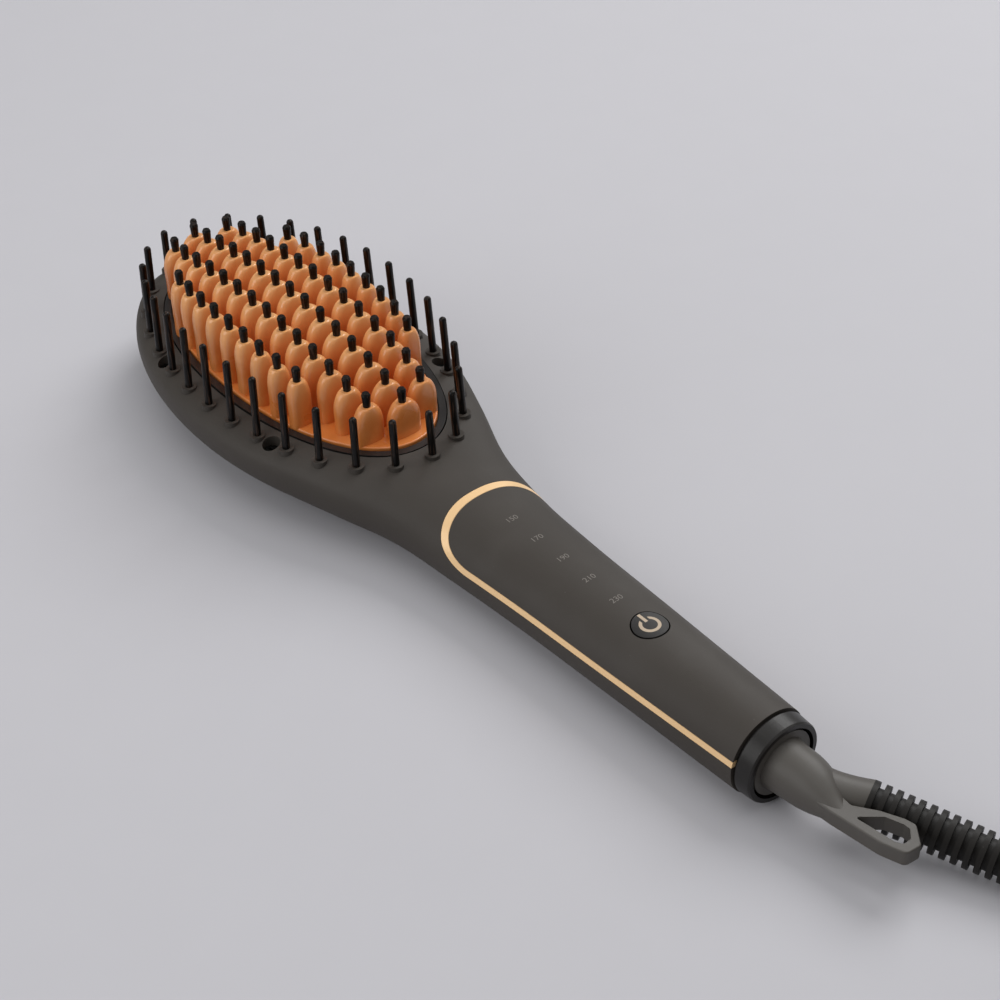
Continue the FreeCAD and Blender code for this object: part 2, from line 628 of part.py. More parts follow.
def tooth(x, y, width, top):
    """A fin with fingertip shoulders that end in a round socket."""
    low = s.plate_top - s.tooth_root
    bend = top - s.tooth_shoulder
    rim = s.socket_diameter / 2
    wires = [tooth_wire(x, y, s.tooth_thickness / 2, width / 2, 2.8, low + (bend - low) * share)
             for share in (0, 0.4, 0.8)]
    for share in (0.1, 0.35, 0.58, 0.77, 0.91, 1):
        left = (1 - share * share) ** 0.6
        wires.append(tooth_wire(x, y, rim + (s.tooth_thickness / 2 - rim) * left,
                                rim + (width / 2 - rim) * left,
                                2 + 0.8 * left, bend + s.tooth_shoulder * share))
    seat = Part.makeCylinder(s.tuft_diameter / 2 + s.tuft_clearance, s.tuft_seat + 1,
                             Vector(x, y, top - s.tuft_seat))
    return Part.makeLoft(wires, True, False).cut(seat)


def tooth_places():
    """Every tooth: x, y, width and the height of its socket."""
    rows = [(0, int(s.middle_tooth_count), s.middle_tooth_width, 0, 1)]
    for side in (-1, 1):
        rows.append((side, int(s.second_tooth_count), s.second_tooth_width,
                     s.second_row_tuck, 8))
        rows.append((2 * side, int(s.outer_tooth_count), s.outer_tooth_width,
                     s.outer_row_tuck, 3))
    places = []
    for row, count, width, tuck, sharpness in rows:
        for i in range(count):
            step = i - (count - 1) / 2
            x = s.tooth_station + s.tooth_pitch * step
            pull = tuck * abs(2 * step / (count - 1)) ** sharpness
            y = math.copysign(s.row_pitch * abs(row) - pull, row) if row else 0
            away = x - s.tooth_station
            top = (s.tooth_top - s.tooth_slope * away - s.tooth_crown * away * away
                   - s.row_crown * y * y)
            places.append((x, y, width, top))
    return places


TEETH = tooth_places()
plate_blank = plate_prism(0, plate_bottom, s.plate_top)
plate_blank = plate_blank.makeFillet(0.4, [plate_blank.Edges[k] for k in range(
    len(plate_blank.Edges)) if plate_blank.Edges[k].BoundBox.ZMin > s.plate_top - 0.001])
comb_shape = plate_blank.multiFuse([tooth(*place) for place in TEETH])
comb = solid("comb", comb_shape)
clamp_top = "plate_top - plate_thickness - heater_thickness - film_thickness"
clamp_places = [("plate_station + %d * clamp_screw_spacing" % k, "0") for k in (-1, 0, 1)]
boss_length = "heater_thickness + film_thickness - clamp_take_up"
clamp_bosses = [rod("clamp_boss", "clamp_boss_diameter", boss_length, x, y,
                    clamp_top + " + clamp_take_up") for x, y in clamp_places]
clamp_seat = clamp_top + " - clamp_thickness"
clamp_pilots = [rod("clamp_pilot", "screw_diameter + 2 * screw_clearance",
                    "clamp_screw_length + screw_tip_gap", x, y, clamp_seat)
                for x, y in clamp_places]
node("heating_plate", cut("heating_plate", fuse("plate_with_bosses", comb, *clamp_bosses),
                          *clamp_pilots))


def tuft(x, y, top):
    """A bundle of short fibres, seated in its socket and a little spread above it."""
    low = s.tuft_diameter / 2
    high = s.tuft_spread / 2
    profile = [(0, -s.tuft_seat), (low, -s.tuft_seat), (low, 0),
               (high, s.tuft_height * 0.85), (0.75 * high, s.tuft_height), (0, s.tuft_height)]
    points = [Vector(x + radius, y, top + height) for radius, height in profile]
    face = Part.Face(Part.makePolygon(points + points[:1]))
    return face.revolve(Vector(x, y, 0), Z_AXIS, 360)


node("bristle_tufts", shapes("bristle_tufts", [tuft(x, y, top) for x, y, _, top in TEETH]))


def guard(foot, up, height):
    """A smooth bristle with a round tip."""
    radius = s.guard_diameter / 2
    corners = [Vector(0, 0, -s.guard_root), Vector(radius, 0, -s.guard_root),
               Vector(radius, 0, height - radius)]
    tip = Part.Arc(corners[2], Vector(radius * math.sin(math.pi / 4), 0,
                                      height - radius + radius * math.cos(math.pi / 4)),
                   Vector(0, 0, height))
    edges = [Part.LineSegment(corners[0], corners[1]).toShape(),
             Part.LineSegment(corners[1], corners[2]).toShape(), tip.toShape(),
             Part.LineSegment(Vector(0, 0, height), corners[0]).toShape()]
    pin = Part.Face(Part.Wire(edges)).revolve(Vector(), Z_AXIS, 360)
    pin.Placement = Placement(foot, Rotation(Z_AXIS, up))
    return pin


guards = []
for place, outward, share in GUARDS:
    foot, up = guard_frame(place, outward)
    height = s.guard_end_height + (s.guard_middle_height - s.guard_end_height) * (1 - share ** 2)
    guards.append(guard(foot, up, height))
node("guard_bristles", shapes("guard_bristles", guards))

# ---- frame round the plate, and the heater under it -------------------------------------

flange_top = s.plate_top - s.flange_drop
outer_edge = s.plate_gap + s.frame_width
flange = cut("flange", common("flange_blank", clear_form, solid("flange_slab", plate_prism(
    outer_edge + s.flange_width, flange_top - s.flange_thickness, flange_top))),
    shapes("well_clearance", [rod_at(place, tube_diameter + 2 * s.screw_hole_clearance, -1, FAR)
                              for place in WELLS]))
frame_blank = fuse("frame_blank", flange, solid("frame_sleeve", plate_prism(
    outer_edge, frame_bottom, s.plate_top - s.frame_drop)))
ledge_bottom = plate_bottom - s.ledge_thickness
node("heater_frame", cut("heater_frame", frame_blank,
                         solid("plate_seat", plate_prism(s.plate_gap, plate_bottom, FAR)),
                         solid("ledge_bore", plate_prism(-s.ledge_width, 0, FAR)),
                         solid("under_ledge", plate_prism(s.plate_gap, 0, ledge_bottom))))
tray_blank = cut("tray_blank",
                 solid("tray_outside", plate_prism(s.plate_gap + s.tray_wall, s.tray_floor,
                                                   frame_bottom)),
                 solid("tray_inside", plate_prism(s.plate_gap, s.tray_floor + s.tray_thickness,
                                                  FAR)))
lead_slot = box("lead_slot", "lead_slot_length", "lead_slot_width", "plate_top",
                "plate_station + plate_half_length", "0",
                "tray_floor + tray_thickness + lead_slot_rise")
node("heater_tray", cut("heater_tray", tray_blank, lead_slot, *tray_holes))

heaters = [box("heater", "heater_length", "heater_width", "heater_thickness", "plate_station",
               side + "heater_offset", "plate_top - plate_thickness - heater_thickness")
           for side in ("", "-")]
node("ptc_heaters", group("ptc_heaters", heaters))
film_holes = [rod("film_hole", "clamp_boss_diameter + 0.6", "2 * film_thickness", x, y,
                  clamp_top + " - film_thickness / 2") for x, y in clamp_places]
node("insulation_film", cut("insulation_film", box(
    "film_blank", "clamp_length", "clamp_width", "film_thickness", "plate_station", "0",
    clamp_top), *film_holes))
clamp_holes = [rod("clamp_hole", "screw_diameter + 2 * screw_hole_clearance",
                   "2 * clamp_thickness", x, y, clamp_seat + " - clamp_thickness / 2")
               for x, y in clamp_places]
node("clamp_plate", cut("clamp_plate", box(
    "clamp_blank", "clamp_length", "clamp_width", "clamp_thickness", "plate_station", "0",
    clamp_seat), *clamp_holes))
node("clamp_screws", group("clamp_screws", [
    screw("clamp_screw_%d" % number, x, y, clamp_seat, "clamp_screw_length", 1)
    for number, (x, y) in enumerate(clamp_places)]))
node("thermistor", rod("thermistor", "sensor_diameter", "sensor_length",
                       "plate_station + sensor_offset - sensor_length / 2", "0",
                       "plate_top - plate_thickness - sensor_diameter / 2 - part_gap",
                       along=X_AXIS))
node("thermal_fuse", rod("thermal_fuse", "fuse_diameter", "fuse_length",
                         "plate_station - fuse_length / 2", "heater_offset",
                         clamp_seat + " - fuse_diameter / 2 - part_gap", along=X_AXIS))

# screws of the casing
head_screws = []
for number, (place, seat) in enumerate(zip(WELLS, well_seats)):
    head_screws.append(screw("head_screw_%d" % number, "%.4f" % place.x, "%.4f" % place.y,
                             "%.4f" % seat, "head_screw_length", -1))
node("head_screws", group("head_screws", head_screws))
node("grip_screws", group("grip_screws", [
    screw("grip_screw_%d" % number, station, "0", "grip_screw_recess", "grip_screw_length", 1)
    for number, station in enumerate(("grip_screw_front", "grip_screw_rear"))]))

# ---- electronics ------------------------------------------------------------------------

board_middle = "board_front + board_length / 2"
board_top = "board_level + board_thickness"
board_holes = [rod("board_hole", "screw_diameter + 2 * screw_hole_clearance",
                   "2 * board_thickness", x, y, "board_level - board_thickness / 2")
               for x, y in board_screw_places]
node("control_board", cut("control_board", box(
    "board_blank", "board_length", "board_width", "board_thickness", board_middle, "0",
    "board_level"), *board_holes))
node("board_screws", group("board_screws", [
    screw("board_screw_%d" % number, x, y, "board_level", "board_screw_length", 1)
    for number, (x, y) in enumerate(board_screw_places)]))
marks = ["mark_station + %d * mark_pitch" % k for k in range(int(s.mark_count))]
node("indicator_lamps", group("indicator_lamps", [
    box("lamp", "lamp_length", "lamp_width", "lamp_height", x, "0", board_top) for x in marks]))
guide_top = top_at(s.mark_station, s.lamp_width / 2, s.wall_thickness) - s.guide_gap
guides = [box("guide", "lamp_length", "lamp_width",
              "%.4f - (%s) - lamp_height - guide_gap" % (guide_top, board_top), x, "0",
              board_top + " + lamp_height + guide_gap") for x in marks]
guides.append(box("guide_bar", "(%d) * mark_pitch + lamp_length" % (len(marks) - 1),
                  "lamp_width", "guide_bar_thickness",
                  "mark_station + %.1f * mark_pitch" % ((len(marks) - 1) / 2), "0",
                  "guide_bar_level"))
for x in ("mark_station + 0.5 * mark_pitch", "mark_station + %.1f * mark_pitch" % (
        len(marks) - 1.5)):
    guides.append(box("guide_foot", "guide_foot_length", "lamp_width",
                      "guide_bar_level - (%s)" % board_top, x, "0", board_top))
node("light_guides", fuse("light_guides", *guides))
node("control_chip", box("control_chip", "chip_length", "chip_width", "chip_height",
                         "chip_station", "0", "board_level - chip_height"))
node("triac", box("triac", "triac_length", "triac_width", "triac_height", "triac_station", "0",
                  "board_level - triac_height"))
node("mains_capacitor", rod("mains_capacitor", "capacitor_diameter", "capacitor_length",
                            "capacitor_station - capacitor_length / 2", "0",
                            "board_level - capacitor_diameter / 2 - part_gap", along=X_AXIS))

# ---- power button -----------------------------------------------------------------------

plunger_low = board_top + " + switch_bore_floor + button_travel + plunger_clearance"
plunger_high = board_top + " + switch_height + plunger_rise"
node("tact_switch", cut("tact_switch", box(
    "switch_blank", "switch_width", "switch_width", "switch_height", "button_station", "0",
    board_top), rod("switch_bore", "plunger_diameter + 2 * plunger_clearance",
                    "switch_height", "button_station", "0", board_top + " + switch_bore_floor")))
node("switch_plunger", rod("switch_plunger", "plunger_diameter",
                           "%s - (%s)" % (plunger_high, plunger_low),
                           "button_station", "0", plunger_low))


def raised_body(name, rise):
    """The outer form lifted straight up."""
    shape = outer_form.Shape.copy()
    shape.translate(Z_AXIS * rise)
    return solid(name, shape)


doc.recompute()
flange_radius = s.button_diameter / 2 + s.button_flange
flange_high = min(top_at(s.button_station + side * flange_radius * math.cos(angle),
                         flange_radius * math.sin(angle), s.wall_thickness)
                  for side in (-1, 1) for angle in (0, math.pi / 4, math.pi / 2))
flange_high -= s.button_flange_gap
flange_low = "%.4f - button_flange_thickness" % flange_high
button_blank = fuse("button_blank",
                    rod("button_cap", "button_diameter", "grip_top", "button_station", "0",
                        flange_low),
                    rod("button_flange", "button_diameter + 2 * button_flange",
                        "button_flange_thickness", "button_station", "0", flange_low),
                    rod("button_stem", "button_stem_diameter",
                        "%s - (%s) + 0.1" % (flange_low, plunger_high),
                        "button_station", "0", plunger_high))
button_form = common("button_form", button_blank, raised_body("button_top", s.button_rise))


def symbol(name, grow, low):
    """A ring open toward the head, with a short bar through the opening."""
    outer = rod(name + "_outer", "symbol_diameter + %g" % (2 * grow), "grip_top",
                "button_station", "0", low)
    inner = rod(name + "_inner", "symbol_diameter - 2 * symbol_stroke - %g" % (2 * grow),
                "2 * grip_top", "button_station", "0", "0")
    gap = box(name + "_gap", "symbol_diameter", "symbol_opening - %g" % (2 * grow),
              "2 * grip_top", "button_station - symbol_diameter / 2", "0", "0")
    bar = box(name + "_bar", "symbol_bar + %g" % (2 * grow), "symbol_stroke + %g" % (2 * grow),
              "grip_top", "button_station - symbol_diameter / 2", "0", low)
    return fuse(name, cut(name + "_ring", outer, inner, gap), bar)


symbol_low = "grip_top - 4 * symbol_depth"
node("power_symbol", cut("power_symbol", common(
    "symbol_blank", symbol("symbol_form", 0, symbol_low), button_form),
    raised_body("symbol_floor", s.button_rise - s.symbol_depth)))
node("power_button", cut("power_button", button_form, cut(
    "symbol_groove", symbol("groove_form", s.symbol_clearance, symbol_low),
    raised_body("groove_floor", s.button_rise - s.symbol_depth - s.symbol_clearance))))

# ---- tail collar and swivel -------------------------------------------------------------

collar_end = "tail_station + groove_width + collar_length"
mouth_floor = collar_end + " - mouth_depth"
web_start = mouth_floor + " - bearing_length"
spigot_start = "tail_station - spigot_length"
groove_start = catch_start + " - catch_clearance"
groove_end = catch_start + " + catch_width + catch_clearance"
spigot_radius = "spigot_diameter / 2"
bore_radius = "journal_diameter / 2 + journal_clearance"
node("tail_collar", revolved("tail_collar", [
    (spigot_start, "spigot_bore / 2"), (spigot_start, spigot_radius),
    (groove_start, spigot_radius), (groove_start, spigot_radius + " - catch_depth"),
    (groove_end, spigot_radius + " - catch_depth"), (groove_end, spigot_radius),
    ("tail_station", spigot_radius), ("tail_station", "collar_diameter / 2 - groove_depth"),
    ("tail_station + groove_width", "collar_diameter / 2 - groove_depth"),
    ("tail_station + groove_width", "collar_diameter / 2"),
    (collar_end + " - collar_round", "collar_diameter / 2 - collar_round / 2"),
    (collar_end, "collar_diameter / 2 - collar_round"), (collar_end, "mouth_diameter / 2"),
    (mouth_floor, "mouth_diameter / 2"), (mouth_floor, bore_radius),
    (web_start, bore_radius), (web_start, "spigot_bore / 2")], "grip_level"))

base_start = mouth_floor + " + swivel_gap"
base_end = base_start + " + swivel_length"
retainer_end = web_start + " - contact_gap"
retainer_start = retainer_end + " - retainer_thickness"
journal_start = retainer_start + " - journal_end"
stub_start = journal_start + " - stub_length"
groove_radius = "journal_diameter / 2 - retainer_groove"
spindle = revolved("swivel_spindle", [
    (stub_start, "0"), (stub_start, "stub_diameter / 2"), (journal_start, "stub_diameter / 2"),
    (journal_start, "journal_diameter / 2"), (retainer_start, "journal_diameter / 2"),
    (retainer_start, groove_radius), (retainer_end, groove_radius),
    (retainer_end, "journal_diameter / 2"), (base_start, "journal_diameter / 2"),
    (base_start, "swivel_diameter / 2"), (base_end, "swivel_diameter / 2"), (base_end, "0")],
    "grip_level")
retainer = cut("swivel_retainer", cut(
    "retainer_ring",
    rod("retainer_blank", "retainer_diameter", "retainer_thickness", retainer_start, "0",
        "grip_level", along=X_AXIS),
    rod("retainer_bore", "2 * (%s) + 2 * retainer_clearance" % groove_radius,
        "3 * retainer_thickness", retainer_start + " - retainer_thickness", "0", "grip_level",
        along=X_AXIS)),
    box("retainer_slot", "3 * retainer_thickness", "2 * (%s)" % groove_radius,
        "retainer_diameter", retainer_start, "0", "grip_level"))
node("swivel_retainer", retainer)
slip_rings, contacts = [], []
for k in (0, 1):
    start = stub_start + " + ring_inset + %d * ring_pitch" % k
    slip_rings.append(cut("slip_ring", rod("ring_blank", "ring_diameter", "ring_width", start,
                                           "0", "grip_level", along=X_AXIS),
                          rod("ring_bore", "stub_diameter + 2 * part_gap", "3 * ring_width",
                              start + " - ring_width", "0", "grip_level", along=X_AXIS)))
    contacts.append(box("contact", "contact_width", "contact_length", "contact_thickness",
                        start + " + ring_width / 2", "0",
                        "grip_level - ring_diameter / 2 - contact_gap - contact_thickness"))
node("slip_rings", group("slip_rings", slip_rings))
node("contact_springs", group("contact_springs", contacts))
carrier_top = "grip_level - ring_diameter / 2 - contact_gap - contact_thickness"
node("contact_carrier", common("contact_carrier", clear_form, box(
    "carrier_blank", "carrier_length", "carrier_width", carrier_top,
    stub_start + " + ring_inset + (ring_pitch + ring_width) / 2", "0", "0")))


def place_of(x, y=0.0, z=0.0):
    """A point measured from the swivel's outer face on the grip axis."""
    return Vector(value_of(collar_end) + x, y, s.grip_level + z)


def ring_wire(centre, direction, radius):
    """A round outline square to a direction, with its seam always to the side."""
    side = Z_AXIS.cross(direction).normalize()
    up = direction.cross(side).normalize()
    points = [centre + (side * math.cos(math.pi * k / 8) + up * math.sin(math.pi * k / 8)) * radius
              for k in range(16)]
    return closed_curve(points)


def heading(turn, dip):
    """Unit direction that turns from +X toward +Y and dips below level, in degrees."""
    turn, dip = math.radians(turn), math.radians(dip)
    return Vector(math.cos(dip) * math.cos(turn), math.cos(dip) * math.sin(turn), -math.sin(dip))


neck_end = place_of(18.2, 7.0, -1.9)
neck_way = heading(25, 8)
neck_start = place_of(0) + X_AXIS * (value_of(base_end) - value_of(collar_end))
neck_radius = s.neck_start_diameter / 2
stub_wires = [
    ring_wire(neck_start - X_AXIS * 0.5, X_AXIS, neck_radius + 0.6),
    ring_wire(place_of(2.5), X_AXIS, neck_radius + 0.2),
    ring_wire(place_of(8.0, 0.2, -0.1), X_AXIS, neck_radius - 0.2),
    ring_wire(place_of(13.0, -0.5, -0.1), heading(-6, 0), neck_radius - 1.7),
    ring_wire(place_of(19.5, -1.6, 0.1), heading(-8, 0), neck_radius - 4.2)]
branch_wires = [
    ring_wire(place_of(3.5, 0.1, -0.2), heading(4, 0), s.neck_diameter / 2 + 0.1),
    ring_wire(place_of(9.0, 1.2, -0.7), heading(18, 2), s.neck_diameter / 2 - 0.1),
    ring_wire(place_of(13.8, 3.6, -1.3), heading(29, 5), s.neck_diameter / 2 - 0.15),
    ring_wire(neck_end, neck_way, s.neck_diameter / 2)]
stub = solid("neck_stub", Part.makeLoft(stub_wires, True, False))
branch = solid("neck_branch", Part.makeLoft(branch_wires, True, False))
swivel_neck = node("swivel_neck", fuse("swivel_neck", spindle, stub, branch))


def rounded_outline(corners, z):
    """Closed outline at a height from corners given as x, y and radius."""
    spots = [Vector(x, y, z) for x, y, _ in corners]
    bends = []
    for i, (_, _, radius) in enumerate(corners):
        into = (spots[i - 1] - spots[i]).normalize()
        out = (spots[(i + 1) % len(spots)] - spots[i]).normalize()
        half = into.getAngle(out) / 2
        reach = radius / math.tan(half)
        middle = spots[i] + (into + out).normalize() * radius * (1 / math.sin(half) - 1)
        bends.append((spots[i] + into * reach, middle, spots[i] + out * reach))
    edges = []
    for i, (start, middle, end) in enumerate(bends):
        edges.append(Part.Arc(start, middle, end).toShape())
        edges.append(Part.LineSegment(end, bends[(i + 1) % len(bends)][0]).toShape())
    return Part.Wire(edges)


def eye_prism(corners, low, height):
    """An upright prism in the hanging eye's plan."""
    spots = [(value_of(collar_end) + x, y, radius) for x, y, radius in corners]
    return Part.Face(rounded_outline(spots, low)).extrude(Z_AXIS * height)


EYE_OUTLINE = ((5.0, -4.6, 0.5), (17.4, -3.9, 8), (30.0, -2.3, 8), (35.6, -0.4, 1.6),
               (36.0, 3.6, 1.2), (31.4, 7.2, 1.5), (28.7, 6.6, 1.0), (23.8, 4.3, 4),
               (18.9, 0.9, 1.0), (12.0, 1.5, 0.5), (5.0, 0.0, 0.5))
EYE_HOLE = ((21.6, -1.2, 0.4), (25.8, 3.7, 0.8), (29.8, 5.15, 0.8), (31.4, 5.2, 0.8),
            (33.4, 3.3, 0.8), (33.4, 1.2, 0.7), (31.9, 0.2, 0.8))
eye_low = s.grip_level - s.eye_low
eye_form = eye_prism(EYE_OUTLINE, eye_low, s.eye_height)
eye_blank = solid("eye_blank", eye_form.makeFillet(s.eye_rounding, [
    edge for edge in eye_form.Edges if edge.BoundBox.ZLength < 0.001]))
eye_hole = solid("eye_hole", eye_prism(EYE_HOLE, eye_low - 1, s.eye_height + 2))

# strain relief: a tapering core with ribs
relief_end_way = heading(20.5, 3)


def relief_at(share):
    """Centre and direction along the strain relief, from the neck to its end."""
    length = s.relief_length
    end = neck_end + heading(21.886, 4.873) * length
    back = 1 - share
    near = neck_end + neck_way * (length / 3)
    far = end - relief_end_way * (length / 3)
    centre = (neck_end * back ** 3 + near * (3 * back * back * share)
              + far * (3 * back * share * share) + end * share ** 3)
    way = ((near - neck_end) * back * back + (far - near) * 2 * back * share
           + (end - far) * share * share).normalize()
    return centre, way


def relief_core(share):
    """Radius of the core along the strain relief."""
    start = s.neck_diameter / 2 - s.relief_core_drop
    return start + (s.cord_diameter / 2 + s.relief_end_wall - start) * share


def rib_radius(share):
    """Radius over the ribs along the strain relief."""
    return (s.neck_diameter + (s.relief_end_diameter - s.neck_diameter) * share ** 2) / 2


eye_room = solid("eye_room", Part.makeLoft([
    ring_wire(*relief_at(k / 8), rib_radius(k / 8) + s.eye_clearance) for k in range(5)],
    True, False))
node("hanging_eye", cut("hanging_eye", eye_blank, eye_hole, swivel_neck, eye_room))

core = Part.makeLoft([ring_wire(*relief_at(k / 8), relief_core(k / 8)) for k in range(9)],
                     True, False)
ribs = []
rib_count = int((s.relief_length - s.relief_rib_width) / s.relief_rib_pitch) + 1
for k in range(rib_count):
    share = (s.relief_rib_pitch * k + s.relief_rib_width / 2) / s.relief_length
    centre, way = relief_at(share)
    start = centre - way * (s.relief_rib_width / 2)
    if k == 0:
        start = neck_end
        way = neck_way
    ribs.append(Part.makeCylinder(rib_radius(share), s.relief_rib_width, start, way))
node("strain_relief", solid("strain_relief", core.multiFuse(ribs)))


# ---- wires and the supply cord ----------------------------------------------------------

ARC_SHARE = 0.45


def cord_path(points, name=""):
    """Straight runs joined by tangent arcs as large as the runs allow."""
    edges = []
    radii = []
    last = points[0]
    for before, here, after in zip(points, points[1:], points[2:]):
        into, out = here - before, after - here
        half = into.getAngle(out) / 2
        reach = ARC_SHARE * min(into.Length, out.Length)
        radius = reach / math.tan(half)
        into, out = into.normalize(), out.normalize()
        start, end = here - into * reach, here + out * reach
        middle = here + (out - into).normalize() * radius * (1 / math.cos(half) - 1)
        edges += [Part.LineSegment(last, start).toShape(), Part.Arc(start, middle, end).toShape()]
        radii.append(round(radius, 1))
        last = end
    edges.append(Part.LineSegment(last, points[-1]).toShape())
    if name:
        print(name, "radii", radii)
    return Part.Wire(edges)


def tube(points, diameter, name=""):
    """A round solid along a path; a named one reports its volume against its length."""
    path = cord_path(points, name)
    start = Part.Wire(Part.makeCircle(diameter / 2, points[0], points[1] - points[0]))
    shape = path.makePipeShell([start], True, True)
    if name:
        print(name, "length", round(path.Length, 2), "volume share",
              round(shape.Volume / (math.pi * diameter ** 2 / 4 * path.Length), 5))
    return shape


lead_low = s.tray_floor + s.tray_thickness + 2.5
heater_end = s.plate_station + s.heater_length / 2
heater_axis = plate_bottom - s.heater_thickness / 2
board_pad = s.board_level + s.board_thickness + s.lead_diameter / 2 + s.part_gap
heater_leads, supply_leads = [], []
carrier_front = (value_of(stub_start) + s.ring_inset + (s.ring_pitch + s.ring_width) / 2
                 - s.carrier_length / 2)
board_rear = s.board_front + s.board_length
for side in (-1, 1):
    heater_leads.append(tube([
        Vector(heater_end, side * s.heater_offset, heater_axis),
        Vector(heater_end + 9.5, side * s.heater_offset, heater_axis),
        Vector(heater_end + 14, side * 8.5, lead_low),
        Vector(heater_end + 27, side * 6.4, lead_low),
        Vector(s.board_front - 12, side * 5.6, lead_low - 0.3),
        Vector(s.board_front - 3, side * 4.2, board_pad),
        Vector(s.board_front + 2.2, side * 4, board_pad)], s.lead_diameter))
    supply_leads.append(tube([
        Vector(carrier_front, side * 4.8, 5.2), Vector(carrier_front - 3.4, side * 4.8, 5.2),
        Vector(board_rear + 1.8, side * 4.8, board_pad),
        Vector(board_rear - 1.4, side * 4.8, board_pad)], s.lead_diameter))
node("heater_leads", shapes("heater_leads", heater_leads))
node("supply_leads", shapes("supply_leads", supply_leads))

relief_end, _ = relief_at(1)
table_axis = s.cord_diameter / 2 + 0.05
coil_middle = s.coil_outer / 2 - s.cord_diameter / 2
coil_centre = relief_end + Vector(58.4, -22.8, -relief_end.z)


def coil_point(angle):
    """Point of the coil's outer turn and the direction of its clockwise run."""
    angle = math.radians(angle)
    spot = Vector(math.cos(angle), math.sin(angle), 0) * coil_middle + coil_centre
    return spot + Z_AXIS * table_axis, Vector(math.sin(angle), -math.cos(angle), 0)


entry, entry_way = coil_point(110.5)
first_bend = relief_end + relief_end_way * 18
first_bend.z = table_axis
cord_points = [relief_end, first_bend, entry - entry_way * 12]
node("power_cord", solid("power_cord", tube(cord_points, s.cord_diameter, "power_cord")))
coil = Part.makeCylinder(s.coil_outer / 2, s.coil_height, coil_centre).cut(
    Part.makeCylinder(s.coil_hole / 2, s.coil_height, coil_centre))
coil = coil.makeFillet(2.5, [edge for edge in coil.Edges if edge.Closed])
node("cord_coil", solid("cord_coil", coil))
leave, leave_way = coil_point(60)
plug_axis = s.plug_height / 2
plug_way = heading(-24, 0)
lead_start = leave + leave_way * 12 + Z_AXIS * (s.cord_diameter / 2)
floor_bend = leave + leave_way * 24
rise_end = floor_bend + plug_way * 14
rise_end.z = plug_axis
plug_start = rise_end + plug_way * 12
plug_points = [lead_start, floor_bend, rise_end, plug_start]
node("plug_lead", solid("plug_lead", tube(plug_points, s.cord_diameter, "plug_lead")))
plug_side = Z_AXIS.cross(plug_way)
turn = Placement(plug_start, Rotation(plug_way, plug_side, Z_AXIS, "XYZ"))
neck_taper = Part.makeCone(s.plug_neck_end_diameter / 2, s.plug_neck_diameter / 2,
                           s.plug_neck_length, Vector(), X_AXIS)
plug_box = Part.makeBox(s.plug_length, s.plug_width, s.plug_height, Vector(
    s.plug_neck_length, -s.plug_width / 2, -s.plug_height / 2))
plug_box = plug_box.makeFillet(s.plug_round, [
    edge for edge in plug_box.Edges
    if edge.BoundBox.XMax < s.plug_neck_length + s.plug_length - 0.001])
plug = neck_taper.fuse(plug_box)
face = s.plug_neck_length + s.plug_length
pins = [Part.makeCylinder(s.pin_diameter / 2, s.pin_length, Vector(
    face, side * s.pin_spacing / 2, 0), X_AXIS) for side in (-1, 1)]
for name, shape in (("plug_body", plug), ("plug_pins", Part.makeCompound(pins))):
    item = node(name, solid(name, shape))
    item.Placement = turn

doc.recompute()

# ---- checks and export ------------------------------------------------------------------

for item in doc.Objects:
    if "Invalid" in item.State or "Error" in item.State:
        raise ValueError("%s does not build: %s" % (item.Label, item.State))
for item in NODES:
    if item.Shape.isNull() or not item.Shape.isValid() or not item.Shape.Solids:
        raise ValueError(item.Label + " is not a valid solid")
    item.Shape.exportStep("parts/%s.step" % item.Label)
    extent = item.Shape.BoundBox
    print("%-16s %3d solids %9.1f mm3  x %7.1f %7.1f  y %6.1f %6.1f  z %5.1f %5.1f" % (
        item.Label, len(item.Shape.Solids), item.Shape.Volume, extent.XMin, extent.XMax,
        extent.YMin, extent.YMax, extent.ZMin, extent.ZMax))
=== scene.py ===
"""Finishes, supply cord and studio for a heated hair straightening brush.

Metres.  +X runs from the head to the cord and +Z is up from the table under the brush's back.
"""
import json
import math

import bpy
from bpy.props import FloatProperty, FloatVectorProperty, IntProperty, PointerProperty
from mathutils import Matrix, Vector

